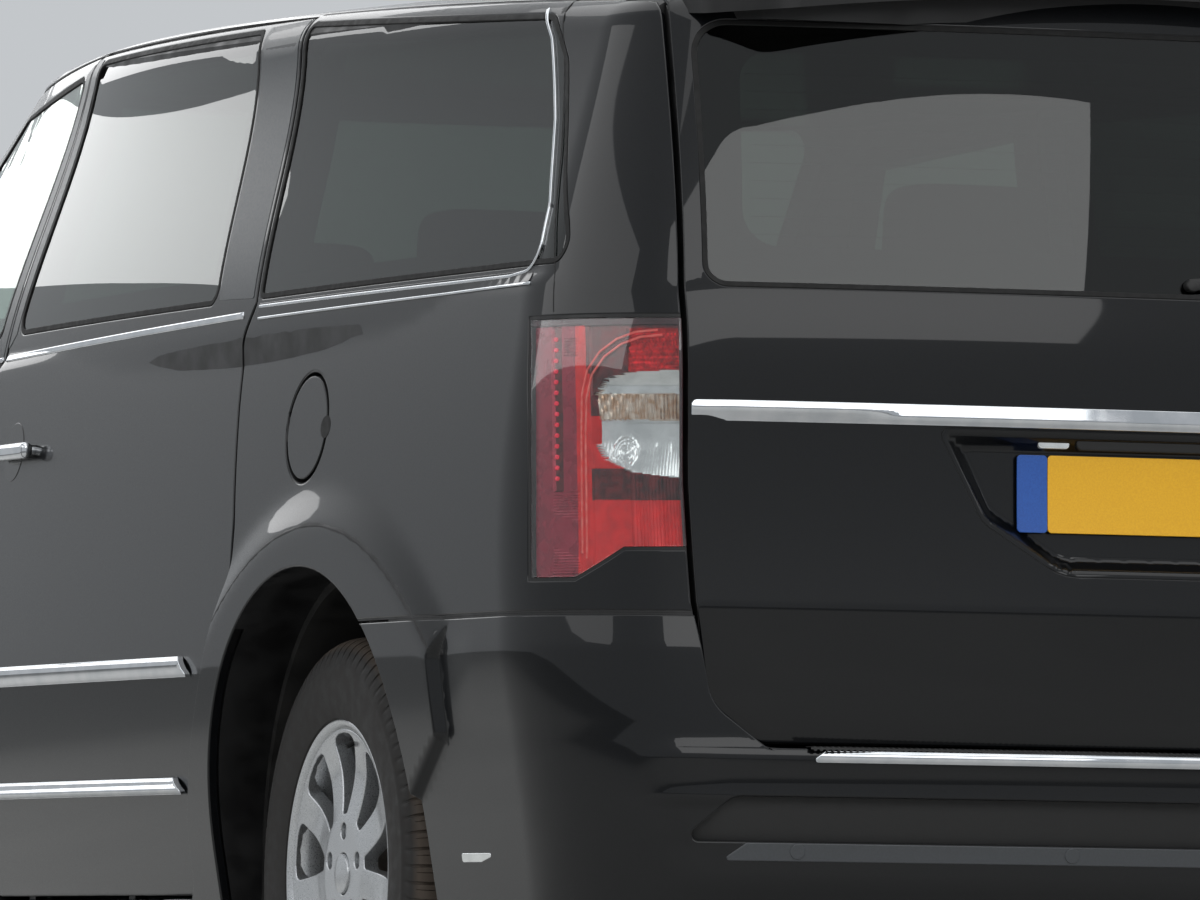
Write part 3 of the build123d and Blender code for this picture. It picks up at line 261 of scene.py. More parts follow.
def roof_z(x, y):
    """Roof height: a cylinder of ROOF_RADIUS along the vehicle with a crown of ROOF_CROWN across it."""
    return ROOF_TOP - (x - ROOF_CENTRE_X) ** 2 / (2 * ROOF_RADIUS) - y * y / (2 * ROOF_CROWN)


HOOD_CENTRE, HOOD_RADIUS = circle_through(*HOOD_LINE)


def hood_z(x, y):
    """Hood height: an arc along the vehicle with a crown across it."""
    return HOOD_CENTRE[1] + np.sqrt(HOOD_RADIUS ** 2 - (x - HOOD_CENTRE[0]) ** 2) - y * y / (2 * HOOD_CROWN)


def edge_round(shell, top_z, radius, first):
    """The round between a shell's side and its top at each s: its centre (reach, z), where it leaves the
    side, and the angle at which it meets the top. Each is found by moving along the two surfaces until
    their offsets meet."""
    s = shell.s
    z = np.full(len(s), first)
    r = shell.reach(s, z) - radius

    def along(reach):
        """Height of the top surface over the places at a reach."""
        p = shell.place(s, z, reach)
        return top_z(p[:, 0], p[:, 1])

    for _ in range(60):
        side = (shell.reach(s, z + 2) - shell.reach(s, z - 2)) / 4
        top = (along(r + 2) - along(r - 2)) / 4
        centre_r = shell.reach(s, z) - radius / np.hypot(1, side)
        centre_z = along(r) - radius / np.hypot(1, top)
        r = centre_r - radius * top / np.hypot(1, top)
        z = centre_z - radius * side / np.hypot(1, side)
    return centre_r, centre_z, z, math.pi / 2 + np.arctan(top)


EDGE_R, EDGE_Z, EDGE_FROM, EDGE_TURN = edge_round(UPPER, roof_z, ROOF_EDGE, 1640.0)


def glasshouse_reach(s, z):
    """Reach of the upper shell, with the roof edge's round above EDGE_FROM."""
    a = np.abs(s)
    r, centre, start = (np.interp(a, UPPER.s, t) for t in (EDGE_R, EDGE_Z, EDGE_FROM))
    curve = r + np.sqrt(np.maximum(ROOF_EDGE ** 2 - (z - centre) ** 2, 1.0))
    return np.where(z > start, curve, UPPER.reach(s, z))


def flare_stand(s, z):
    """How far the wheel arch flare stands out of the side. Its face is a cone through ellipses round
    (FLARE_X, ARCH_Z) in upright planes: shrink is how much smaller than FLARE_RADII the ellipse through a
    point is, and the cone comes out by a third of it. Both its edges are softened: 2 log(1 + exp(d / 2))
    runs from 0 into d. On the bumper it fades out behind a ridge and above a foot line, which meet at
    FLARE_TIP."""
    x = np.abs(s) - SIDE_S
    y = SPINE_Y + LOWER.reach(s, np.minimum(z, LOWER_TOP))
    stand = np.zeros(len(x))
    sin, cos = math.sin(FLARE_LEAN), math.cos(FLARE_LEAN)
    high = z - ARCH_Z
    for _ in range(4):
        ahead = (x - FLARE_X) * cos + (y + stand - FLARE_Y) * sin
        out = (y + stand - FLARE_Y) * cos - (x - FLARE_X) * sin
        shrink = np.zeros(len(x))
        for _ in range(5):
            a, b = FLARE_RADII[0] - shrink, FLARE_RADII[1] - shrink
            miss = (ahead / a) ** 2 + (high / b) ** 2 - 1
            slope = 2 * ahead ** 2 / a ** 3 + 2 * high ** 2 / b ** 3
            shrink = np.clip(shrink - miss / np.maximum(slope, 1e-6), -900, 400)
        stand = np.clip(stand + shrink / 3 - out, -40, 60)
    rise = 2 * np.log1p(np.exp(np.clip(stand / 2, -20, 20)))
    full = FLARE_STAND + 0.6
    stand = full - 2 * np.log1p(np.exp(np.clip((full - rise) / 2, -20, 20)))
    stand = np.maximum(stand, -0.3)
    ridge = np.interp(z, [549, FLARE_BEND[1], BUMPER_TOP], [-2028, FLARE_BEND[0], -2064])
    (tip_x, tip_z), (front_x, front_z) = FLARE_TIP, FLARE_FRONT
    foot = front_z + (x - front_x) * (tip_z - front_z) / (tip_x - front_x)
    tail = smooth((x - ridge + 6) / 10) * smooth((z - foot + 8) / 12)
    return np.where(z < BUMPER_TOP, stand * tail, stand)


def body_reach(s, z):
    """Reach of the painted body behind the front pillars: lower shell below the belt, glasshouse above it.
    Where one stands out beyond the other it runs in over 60 mm, over 24 mm under the side glass."""
    a = np.abs(s)
    belt = belt_z(np.clip(a - SIDE_S, BELT_REAR[0], BELT_FRONT[0]))
    height = 24 + 36 * smooth((SIDE_S - 2250 - a) / 140)
    high, low = glasshouse_reach(s, z), LOWER.reach(s, np.minimum(z, LOWER_TOP))
    below = low + np.maximum(high - low, 0) * smooth((z - belt + 60) / 60)
    above = high + np.maximum(low - high, 0) * smooth((belt + height - z) / height)
    return np.where(z < belt, below, above)


def body_skin(s, z, out=0.0):
    """The body side and tail, chart of the upper shell."""
    return UPPER.place(s, z, body_reach(s, z) + out)


def flared_skin(s, z, out=0.0):
    """The body side with the wheel arch flare."""
    return UPPER.place(s, z, body_reach(s, z) + flare_stand(s, z) + out)


def lower_skin(s, z, out=0.0):
    """The body below the belt: the lower shell."""
    return LOWER.place(s, z, LOWER.reach(s, z) + out)


def upper_skin(s, z, out=0.0):
    """The glasshouse alone."""
    return UPPER.place(s, z, glasshouse_reach(s, z) + out)


def tailgate_skin(s, z, out=0.0):
    """The tail, tucked in below its crease."""
    return UPPER.place(s, z, body_reach(s, z) - np.maximum(TUCK_Z - z, 0) * TUCK_SLOPE + out)


def roof_skin(x, y, out=0.0):
    """The roof as a height over the plan, with its edge's round."""
    s, reach = UPPER.spine_coordinates(np.stack([x, np.abs(y)], 1))
    r, z, turn = (np.interp(s, UPPER.s, t) for t in (EDGE_R, EDGE_Z, EDGE_TURN))
    curve = z + np.sqrt(np.maximum(ROOF_EDGE ** 2 - (reach - r) ** 2, 1.0))
    return np.stack([x, y, np.where(reach > r + ROOF_EDGE * np.cos(turn), curve, roof_z(x, y)) + out], 1)


def roof_skin_flat(x, y, out=0.0):
    """The roof's crown alone, as the spoiler follows it."""
    return np.stack([x, y, roof_z(x, y) + out], 1)


def hood_skin(x, y, out=0.0):
    """The hood as a height over the plan."""
    return np.stack([x, y, hood_z(x, y) + out], 1)


def s_where(skin, axis, value, z, low, high):
    """The s between low and high at which a skin's x (axis 0) or y (axis 1) has a value, by halving."""
    a = np.full(len(value), float(low))
    b = np.full(len(value), float(high))
    rising = skin(b, z)[:, axis] > skin(a, z)[:, axis]
    for _ in range(26):
        m = (a + b) / 2
        over = (skin(m, z)[:, axis] > value) == rising
        b = np.where(over, m, b)
        a = np.where(over, a, m)
    return (a + b) / 2


def from_side(skin, points):
    """Chart points (s, z) from a side-view outline (x, z)."""
    shell = LOWER if skin is lower_skin else UPPER
    return np.stack([s_where(skin, 0, points[:, 0], points[:, 1], 300.0, shell.length - 4), points[:, 1]], 1)


def from_end(skin, points):
    """Chart points (s, z) of the tail from an end-view outline (y, z) that may cross the centre."""
    s = s_where(skin, 1, np.abs(points[:, 0]), points[:, 1], 0.0, SIDE_S - 1900)
    return np.stack([s * np.sign(points[:, 0]), points[:, 1]], 1)


def from_front(skin, points):
    """Chart points (s, z) of the nose or windscreen from an end-view outline (y, z), left half only."""
    shell = LOWER if skin is lower_skin else UPPER
    return np.stack([s_where(skin, 1, np.abs(points[:, 0]), points[:, 1], shell.s3, shell.length - 4),
                     points[:, 1]], 1)


# Outlines

def dense(points, step=12.0, closed=True, least=4.0):
    """An outline of (a, b, radius) corners as close points: straight runs and round corners."""
    p = [(float(c[0]), float(c[1]), float(c[2]) if len(c) > 2 else 0.0) for c in points]
    n = len(p)
    runs = []
    for i in range(n):
        here = np.array(p[i][:2])
        if not closed and i in (0, n - 1):
            runs.append(here[None])
            continue
        before, after = np.array(p[i - 1][:2]), np.array(p[(i + 1) % n][:2])
        u, w = before - here, after - here
        lu, lw = math.hypot(*u), math.hypot(*w)
        u, w = u / lu, w / lw
        half = math.acos(max(-1.0, min(1.0, float(u @ w)))) / 2
        if abs(half - math.pi / 2) < 0.004:
            runs.append(here[None])
            continue
        radius = max(p[i][2], least)
        back = min(radius / math.tan(half), 0.49 * min(lu, lw))
        radius = back * math.tan(half)
        bisector = (u + w) / math.hypot(*(u + w))
        centre = here + bisector * radius / math.sin(half)
        a, b = here + u * back - centre, here + w * back - centre
        t0, t1 = math.atan2(a[1], a[0]), math.atan2(b[1], b[0])
        turn = (t1 - t0 + math.pi) % (2 * math.pi) - math.pi
        t = t0 + turn * np.linspace(0, 1, max(4, int(abs(turn) * 7) + 1))
        runs.append(centre + radius * np.stack([np.cos(t), np.sin(t)], 1))
    out = []
    for i, run in enumerate(runs):
        out.append(run)
        if i == n - 1 and not closed:
            break
        a, b = run[-1], runs[(i + 1) % n][0]
        count = int(math.hypot(*(b - a)) / step)
        if count > 0:
            t = np.linspace(0, 1, count + 2)[1:-1, None]
            out.append(a + (b - a) * t)
    return np.concatenate(out)


def grown(points, amount):
    """A closed outline of (a, b, radius) moved outward by amount on every side."""
    n = len(points)
    area = sum(points[i][0] * points[(i + 1) % n][1] - points[(i + 1) % n][0] * points[i][1]
               for i in range(n))
    turn = 1.0 if area > 0 else -1.0
    result = []
    for i in range(n):
        b, h, a = (np.array(points[k][:2], float) for k in (i - 1, i, (i + 1) % n))
        d1, d2 = (h - b) / math.hypot(*(h - b)), (a - h) / math.hypot(*(a - h))
        n1, n2 = turn * np.array([d1[1], -d1[0]]), turn * np.array([d2[1], -d2[0]])
        q = h + (n1 + n2) * amount / (1 + n1 @ n2)
        radius = points[i][2] if len(points[i]) > 2 else 0
        result.append((q[0], q[1], max(0.0, radius + amount) if radius > 0 else 0.0))
    return result


def mirrored(edge):
    """A closed outline from its left half, which runs from the bottom up."""
    return [(-p[0], p[1], p[2]) for p in reversed(edge)] + list(edge)


def turned(loop, outer):
    """The loop run anticlockwise if it bounds a panel, clockwise if it bounds a hole."""
    x, y = loop[:, 0], loop[:, 1]
    area = np.sum(x * np.roll(y, -1) - np.roll(x, -1) * y)
    return loop if (area > 0) == outer else loop[::-1]


def edge_normals(loop):
    """Unit normals of a closed loop in its plane, away from the material."""
    t = np.roll(loop, -1, 0) - np.roll(loop, 1, 0)
    t /= np.maximum(np.hypot(t[:, 0], t[:, 1]), 1e-9)[:, None]
    return np.stack([t[:, 1], -t[:, 0]], 1)


def inside(points, loops):
    """Whether plane points lie inside the loops, by counting crossings of a ray."""
    hits = np.zeros(len(points), int)
    for loop in loops:
        a, b = loop, np.roll(loop, -1, 0)
        way = (b - a)[None]
        for i in range(0, len(points), 4000):
            p = points[i:i + 4000]
            cross = (a[None, :, 1] > p[:, None, 1]) != (b[None, :, 1] > p[:, None, 1])
            with np.errstate(divide="ignore", invalid="ignore"):
                at = a[None, :, 0] + (p[:, None, 1] - a[None, :, 1]) * way[..., 0] / way[..., 1]
            hits[i:i + 4000] += (cross & (p[:, None, 0] < at)).sum(1)
    return hits % 2 == 1


def clearance(points, loops):
    """Distance from plane points to the nearest loop point."""
    edge = np.concatenate(loops)
    out = np.empty(len(points))
    for i in range(0, len(points), 2000):
        d = points[i:i + 2000, None] - edge[None]
        out[i:i + 2000] = np.sqrt((d * d).sum(2).min(1))
    return out


# Meshes

def placed(name, data):
    """A new object of the scene from its mesh, lamp or camera data."""
    obj = bpy.data.objects.new(name, data)
    bpy.context.scene.collection.objects.link(obj)
    return obj


def add_mesh(name, points, faces, body, materials, normals=None, indices=None, attributes=None, sharp=35.0):
    """A mesh piece from points in millimetres, riding on a body. Without normals it is shaded smooth, with
    edges over the sharp angle kept."""
    mesh = bpy.data.meshes.new(name)
    mesh.from_pydata((np.asarray(points) * MM).tolist(), [], [list(map(int, f)) for f in faces])
    for m in materials if isinstance(materials, (list, tuple)) else [materials]:
        mesh.materials.append(m)
    if indices is not None:
        mesh.polygons.foreach_set("material_index", np.asarray(indices, np.int32))
    mesh.polygons.foreach_set("use_smooth", np.ones(len(mesh.polygons), bool))
    for key, values in (attributes or {}).items():
        mesh.attributes.new(key, "FLOAT", "POINT").data.foreach_set("value", np.asarray(values, np.float32))
    mesh.update()
    if normals is not None:
        mesh.normals_split_custom_set_from_vertices(np.asarray(normals, float).tolist())
    else:
        mesh.set_sharp_from_angle(angle=math.radians(sharp))
    obj = placed(name, mesh)
    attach(obj, body)
    return obj


def unit(v):
    """Vectors of length 1 along the last axis."""
    return v / np.maximum(np.linalg.norm(v, axis=-1, keepdims=True), 1e-12)


def frame_of(skin, p):
    """Surface point, unit normal and the two unit tangents of a skin at chart points."""
    a, b, h = p[:, 0], p[:, 1], 5.0
    da = unit(skin(a + h, b) - skin(a - h, b))
    db = unit(skin(a, b + h) - skin(a, b - h))
    n = unit(np.cross(db, da))
    return skin(a, b), n, da, db


def panel(name, skin, loops, body, material, out=SKIN, step=22.0, lip=3.0, flange=11.0, flip=False, back=None,
          more=None):
    """A pressed panel: chart loops filled with a grid of points on the skin, its edges rolled by a quarter
    round of radius lip and turned in by flange. flip turns the faces over for charts of the other hand.
    back adds the inner face at that depth, which closes the panel; more are chart points along a crease."""
    loops = [turned(loop, i == 0) for i, loop in enumerate(loops)]
    normals2 = [edge_normals(loop) for loop in loops]
    inner = [loop - lip * n for loop, n in zip(loops, normals2)]
    low, high = np.concatenate(inner).min(0), np.concatenate(inner).max(0)
    gx, gy = np.meshgrid(np.arange(low[0] + step / 2, high[0], step),
                         np.arange(low[1] + step / 2, high[1], step))
    gx[1::2] += step / 2
    grid = np.stack([gx.ravel(), gy.ravel()], 1)
    grid = grid[inside(grid, inner)]
    grid = grid[clearance(grid, inner) > 0.42 * min(step, 20.0)]
    if more is not None:
        more = more[inside(more, inner)]
        grid = np.concatenate([grid[clearance(grid, [more]) > 5.0], more[clearance(more, inner) > 2.5]])
    chart = np.concatenate(inner + [grid])
    edges, start = [], 0
    for loop in inner:
        k = np.arange(len(loop))
        edges += (np.stack([k, (k + 1) % len(loop)], 1) + start).tolist()
        start += len(loop)
    found = delaunay_2d_cdt([tuple(c) for c in chart.tolist()], edges, [], 0, 1e-4)
    chart = np.array([tuple(c) for c in found[0]])
    triangles = np.array(found[2])
    triangles = triangles[inside(chart[triangles].mean(1), inner)]
    points, n3, da, db = frame_of(skin, chart)
    sign = -1.0 if flip else 1.0
    n3 = n3 * sign
    shaded = n3
    at = out if callable(out) else lambda p: np.full(len(p), float(out))
    offset = at(chart)
    if callable(out):
        h = 0.8
        along = (at(chart + (h, 0)) - at(chart - (h, 0))) / (2 * h)
        rise = (at(chart + (0, h)) - at(chart - (0, h))) / (2 * h)
        shaded = unit(n3 - along[:, None] * da - rise[:, None] * db)
    verts, norms = [points + n3 * offset[:, None]], [shaded]
    p = chart[triangles]
    u, w = p[:, 1] - p[:, 0], p[:, 2] - p[:, 0]
    clockwise = (u[:, 0] * w[:, 1] - u[:, 1] * w[:, 0] < 0)[:, None]
    # Outward is db x da, so a face that turns clockwise in the chart looks outward; flip is the other hand
    faces = [np.where(clockwise != flip, triangles, triangles[:, ::-1])]
    count = len(points)
    # An edge's rings: the quarter round at four angles, the flange's foot, and the inner face's edge
    rings = [(0, 0), (30, 0), (60, 0), (90, 0), (90, flange)] + ([] if back is None else [(180, 0)])
    for loop, n2, ring in zip(loops, normals2, inner):
        rows = []
        for phi, drop in rings:
            t = math.radians(phi)
            c = ring + n2 * lip * math.sin(t)
            base, n, da, db = frame_of(skin, c)
            n = n * sign
            away = unit(n2[:, :1] * da + n2[:, 1:] * db)
            high = at(ring) - (back if phi == 180 else lip * (1 - math.cos(t)) + drop)
            rows.append((base + n * high[:, None], n * math.cos(t) + away * math.sin(t)))
        m = len(loop)
        k = np.arange(m)
        for r, (q, n) in enumerate(rows):
            verts.append(q)
            norms.append(n)
            if r:
                a, b = count + (r - 1) * m + k, count + (r - 1) * m + (k + 1) % m
                quad = np.stack([a, b, b + m, a + m], 1)
                faces.append(quad if not flip else quad[:, ::-1])
        count += m * len(rows)
    if back is not None:
        base = len(np.concatenate(verts))
        verts.append(points + n3 * (offset - back)[:, None])
        norms.append(-n3)
        faces.append(faces[0][:, ::-1] + base)
    every_face = [f for group in faces for f in group]
    return add_mesh(name, np.concatenate(verts), every_face, body, material, normals=np.concatenate(norms))


def grid_faces(n, m, wrap_n, wrap_m):
    """Quads of an n by m grid of points, closed round on either axis."""
    i, j = np.meshgrid(np.arange(n if wrap_n else n - 1), np.arange(m if wrap_m else m - 1), indexing="ij")
    a, b = i * m + j, (i + 1) % n * m + j
    c, d = (i + 1) % n * m + (j + 1) % m, i * m + (j + 1) % m
    return np.stack([a, b, c, d], 2).reshape(-1, 4)


def grid_piece(name, grids, body, finish, flip=False, sharp=35.0):
    """One piece from grids of points, each (points[n, m, 3], wrap_n, wrap_m)."""
    points, faces, start = [], [], 0
    for p, wrap_n, wrap_m in grids:
        quad = grid_faces(p.shape[0], p.shape[1], wrap_n, wrap_m)
        faces.append((quad[:, ::-1] if flip else quad) + start)
        points.append(p.reshape(-1, 3))
        start += len(points[-1])
    return add_mesh(name, np.concatenate(points), np.concatenate(faces), body, finish, sharp=sharp)


def turned_profile(profile, n):
    """A profile of (y, radius) points turned round the Y axis: points[n, len(profile), 3]."""
    p = np.array(profile, float)
    t = np.linspace(0, 2 * math.pi, n, endpoint=False)[:, None]
    x, y, z = p[None, :, 1] * np.cos(t), p[None, :, 0], p[None, :, 1] * np.sin(t)
    return np.stack(np.broadcast_arrays(x, y, z), 2)


def rounded_box(x0, x1, y0, y1, z0, z1, r, n):
    """A closed box with round edges: a rounded rectangle in (x, y), drawn in towards both its ends."""
    corner = np.linspace(0, math.pi / 2, n)
    cx = np.concatenate([np.cos(corner + k * math.pi / 2) for k in range(4)])
    cy = np.concatenate([np.sin(corner + k * math.pi / 2) for k in range(4)])
    sx = np.repeat([1, -1, -1, 1], n)
    sy = np.repeat([1, 1, -1, -1], n)
    rows = [(0.0, z0, 0.0)] + [(math.sin(t), z0 + r - r * math.cos(t), 1.0) for t in corner]
    rows += [(math.cos(t), z1 - r + r * math.sin(t), 1.0) for t in corner] + [(0.0, z1, 0.0)]
    out = []
    for grow, z, whole in rows:
        x = (x0 + x1) / 2 + whole * (sx * ((x1 - x0) / 2 - r) + cx * r * grow)
        y = (y0 + y1) / 2 + whole * (sy * ((y1 - y0) / 2 - r) + cy * r * grow)
        out.append(np.stack([x, y, np.full(len(x), z)], 1))
    return np.stack(out)


def tube(path, radius, n):
    """A round rod along close path points, square to it, drawn to a point at both ends."""
    path = np.asarray(path, float)
    way = unit(np.gradient(path, axis=0))
    side = unit(np.cross(way, np.where(np.abs(way[:, 2:3]) > 0.9, [[1.0, 0, 0]], [[0, 0, 1.0]])))
    other = np.cross(way, side)
    t = np.linspace(0, 2 * math.pi, n, endpoint=False)
    rings = path[:, None] + radius * (np.cos(t)[None, :, None] * side[:, None]
                                      + np.sin(t)[None, :, None] * other[:, None])
    ends = [np.repeat(path[i][None, None], n, 1) for i in (0, -1)]
    return np.concatenate([ends[0], rings, ends[1]])


# Materials

def colour(code):
    """An sRGB hex value as linear RGBA."""
    v = np.array([int(code[i:i + 2], 16) for i in (0, 2, 4)]) / 255
    linear = np.where(v <= 0.04045, v / 12.92, ((v + 0.055) / 1.055) ** 2.4)
    return (*linear.tolist(), 1.0)


def node(tree, kind, settings=None, values=None, links=None):
    """Adds one shader node, sets its properties and socket values, and joins its inputs."""
    made = tree.nodes.new("ShaderNode" + kind)
    for key, value in (settings or {}).items():
        setattr(made, key, value)
    for key, value in (values or {}).items():
        made.inputs[key].default_value = value
    for key, source in (links or {}).items():
        tree.links.new(source, made.inputs[key])
    return made


def material(name, values, grain, tones, roughness, bump=None, mask=None, painted_glow=0.0):
    """A moulded, painted or cast finish: a noise of grain mm mixes the two tones and runs the roughness
    between its two values; bump is a second noise's (size mm, height mm). values go on the shader's sockets.
    mask is (mesh attribute, tone): the tone lies over the others where the attribute is 1. The last
    argument is a painted glow: the finish shines from inside in its own colour, so lamp parts look lit."""
    made = bpy.data.materials.new(name)
    made.use_nodes = True
    tree = made.node_tree
    shader = tree.nodes["Principled BSDF"]
    for key, value in values.items():
        shader.inputs[key].default_value = value
    where = node(tree, "TexCoord").outputs["Object"]
    noise = node(tree, "TexNoise", values={"Scale": 1000.0 / grain, "Detail": 3.0}, links={"Vector": where})
    used = {"From Min": 0.35, "From Max": 0.65}
    spread = node(tree, "MapRange", values=used, links={"Value": noise.outputs["Fac"]})
    mix = node(tree, "MixRGB", values={"Color1": colour(tones[0]), "Color2": colour(tones[1])},
               links={"Fac": spread.outputs["Result"]})
    rough = node(tree, "MapRange", values={**used, "To Min": roughness[0], "To Max": roughness[1]},
                 links={"Value": noise.outputs["Fac"]})
    if mask:
        over = node(tree, "Attribute", {"attribute_name": mask[0]})
        dust = node(tree, "Math", {"operation": "MULTIPLY"},
                    links={0: over.outputs["Fac"], 1: spread.outputs["Result"]})
        dust = node(tree, "Math", {"operation": "MULTIPLY_ADD"}, {1: 0.45}, {0: dust.outputs["Value"]})
        tree.links.new(over.outputs["Fac"], dust.inputs[2])
        mix = node(tree, "MixRGB", values={"Color2": colour(mask[1])},
                   links={"Fac": dust.outputs["Value"], "Color1": mix.outputs["Color"]})
    tree.links.new(mix.outputs["Color"], shader.inputs["Base Color"])
    # Painted glow: emission in the finish's own colour, which makes lamp parts look lit
    if painted_glow:
        tree.links.new(mix.outputs["Color"], shader.inputs["Emission Color"])
        shader.inputs["Emission Strength"].default_value = painted_glow
    tree.links.new(rough.outputs["Result"], shader.inputs["Roughness"])
    if bump:
        fine = node(tree, "TexNoise", values={"Scale": 1000.0 / bump[0], "Detail": 2.0},
                    links={"Vector": where})
        relief = node(tree, "Bump", values={"Distance": bump[1] * MM}, links={"Height": fine.outputs["Fac"]})
        tree.links.new(relief.outputs["Normal"], shader.inputs["Normal"])
    return made


# Black enamel: base coat with fine flake under a polished clear coat, so it mirrors softly and looks deep
PAINT = material("car_enamel_black", {"Coat Weight": 0.6, "Coat Roughness": 0.03, "Specular IOR Level": 0.08},
                 1.8, ("060709", "0C0E11"), (0.3, 0.4))
# The same enamel on the inner faces, unpolished and dusty
INNER_PAINT = material("car_enamel_inner_faces", {"Specular IOR Level": 0.4}, 60, ("070708", "121213"),
                       (0.4, 0.6))
# Satin film on the door posts: even charcoal with a soft sheen
POST_FILM = material("satin_charcoal_post_film", {}, 4, ("2B2F32", "33373A"), (0.32, 0.4), (1.6, 0.02))
# Polypropylene with a moulded pebble grain: deep grey, soft highlights
BLACK_PLASTIC = material("grained_black_polypropylene", {"Specular IOR Level": 0.45}, 9, ("121212", "1B1B1B"),
                         (0.5, 0.64), (2.2, 0.12))
# Painted grey ABS of the sensor band: satin, light grey
BAND_GREY = material("satin_grey_abs", {}, 3, ("3F4245", "43464A"), (0.28, 0.32))
# Polished black ABS of the window surrounds
GLOSS_BLACK = material("gloss_black_abs", {}, 30, ("050505", "090909"), (0.07, 0.13))
# Extruded rubber of the window seals: matt black
RUBBER = material("epdm_window_seal", {"Specular IOR Level": 0.35}, 12, ("0A0A0A", "131313"), (0.64, 0.8))
# Nickel and chromium plate on ABS: bright, mirror smooth
CHROME = material("chromium_plate", {"Metallic": 1.0}, 40, ("C2C6CA", "D2D4D7"), (0.05, 0.1))
# Cast iron and dull steel of the running gear under road dust
IRON = material("cast_iron_road_dust", {"Metallic": 0.5}, 45, ("24211F", "3A3631"), (0.5, 0.75), (8, 0.4))
# Aluminised steel pipe with heat stain
PIPE = material("aluminised_steel_pipe", {"Metallic": 0.9}, 70, ("57504A", "857F77"), (0.35, 0.6))
# Floor pressings under sprayed wax: near black, a little lumpy
UNDERBODY = material("waxed_floor_pressing", {}, 80, ("101010", "242322"), (0.5, 0.75), (12, 0.5))
# Cabin mouldings: grained polypropylene, warm dark grey
CABIN_PLASTIC = material("cabin_grained_polypropylene", {"Specular IOR Level": 0.4}, 14, ("262628", "323235"),
                         (0.56, 0.7), (2.4, 0.15))


def glass(name, values, tones):
    """A clear or tinted pane or lens: light passes through the body, tinted between two close tones."""
    return material(name, {"IOR": 1.5, "Transmission Weight": 1.0, **values}, 400, tones, (0.0, 0.0))


# Privacy glass behind the front doors, dark green-grey; green tinted float glass in front
PRIVACY_GLASS = glass("privacy_glass", {}, ("38463F", "35433D"))
CLEAR_GLASS = glass("green_float_glass", {}, ("C4D6CC", "BFD2C7"))
# Moulded acrylic lens over the lamps
CLEAR_LENS = glass("clear_acrylic_lens", {"IOR": 1.49}, ("F0F2F2", "E8EAEA"))
# Silver print of the rear glass heater: thin brownish lines
HEATER_PRINT = material("silver_heater_print", {"Metallic": 0.3}, 40, ("5A4A3E", "6B594A"), (0.4, 0.55))
# Lamp parts: dyed acrylic over metallised reflectors. Magenta band, bright, dark, smoked and cut crystal red
# The band, the bright and the cut red carry a painted glow: they shine from inside as if lit
BAND_RED = material("magenta_red_acrylic", {"Metallic": 0.35}, 25, ("8E1832", "A01E3A"), (0.22, 0.34),
                    painted_glow=0.10)
BRIGHT_RED = material("bright_red_acrylic", {"Metallic": 0.2}, 18, ("C20508", "E00A0C"), (0.16, 0.26),
                      painted_glow=0.22)
DARK_RED = material("dark_red_acrylic", {"Metallic": 0.3}, 12, ("4A0408", "7A060C"), (0.12, 0.25))
SMOKED_RED = material("smoked_red_acrylic", {"Metallic": 0.2}, 20, ("3A1A20", "4A2128"), (0.15, 0.25))
CRYSTAL_RED = material("cut_red_acrylic", {"Metallic": 0.75}, 7, ("A80B12", "E2202A"), (0.05, 0.16),
                       painted_glow=0.12)
# Metallised reflector of the reversing lamp, and the amber bulb cover's ribs before it, both with a painted
# glow
LAMP_SILVER = material("metallised_reflector", {"Metallic": 0.85}, 34, ("CACDCD", "DCDFDF"), (0.14, 0.22),
                       painted_glow=0.12)
AMBER = material("amber_ribbed_cover", {"Metallic": 0.6}, 11, ("C6A284", "E2D6C8"), (0.12, 0.24), painted_glow=0.06)
# Diode windows and the light pipe: red acrylic with a painted glow in place of light caught at its edges
DIODE_RED = material("diode_window_red", {}, 6, ("F02040", "FF3A58"), (0.1, 0.2), painted_glow=0.35)
PIPE_RED = material("light_pipe_red", {"Metallic": 0.4}, 8, ("E84A44", "F07A70"), (0.08, 0.18), painted_glow=0.18)
# Tyre rubber: charcoal, matt, with brown road dust on the tread
TYRE_RUBBER = material("tyre_rubber", {"Specular IOR Level": 0.35}, 22, ("1D1C1B", "292726"), (0.62, 0.82),
                       (3.0, 0.1), mask=("worn", "4E453D"))
# Cast aluminium wheel under silver paint and lacquer: fine flake, soft sheen
ALLOY = material("silver_painted_cast_aluminium",
                 {"Metallic": 0.8, "Coat Weight": 0.5, "Coat Roughness": 0.08}, 1.5,
                 ("A9ACAF", "C9CBCD"), (0.26, 0.38))
# Turned iron of the brake disc: bright grey, streaked with rust; zinc plate of the wheel nuts, dull silver
BRAKE_STEEL = material("turned_brake_disc_iron", {"Metallic": 0.9}, 18, ("6A625B", "8F8983"), (0.3, 0.5))
NUT_STEEL = material("zinc_plated_nut", {"Metallic": 1.0}, 10, ("8E9092", "A7A9AB"), (0.22, 0.36))
# Reflective sheet of the number plate under acrylic: yellow, with a blue band at its left end
PLATE_YELLOW = material("yellow_reflective_sheet", {"Coat Weight": 0.6}, 2.5, ("F2B200", "FABE0A"),
                        (0.28, 0.38))
PLATE_BLUE = material("blue_reflective_sheet", {"Coat Weight": 0.6}, 2.5, ("0F4FA8", "1659B4"), (0.28, 0.38))
# Silvered door mirror glass: a clean mirror, slightly dark
MIRROR_GLASS = material("silvered_mirror_glass", {"Metallic": 1.0}, 80, ("B4B9BD", "BEC2C6"), (0.0, 0.03))


# Painted panels

GAP = 5.0


def both_sides(name, skin, loops, body, finish, left_holes=(), **options):
    """A panel of the left side and its mirror image, which runs through negative s. SIDE in the body's
    name becomes left or right; left_holes are cut on the left only."""
    made = []
    for side, sign in SIDES:
        chart = [loop * (sign, 1.0) for loop in loops] + (list(left_holes) if side == "left" else [])
        made.append(panel(f"{name}_{side}", skin, chart, body.replace("SIDE", side), finish, **options))
    return made


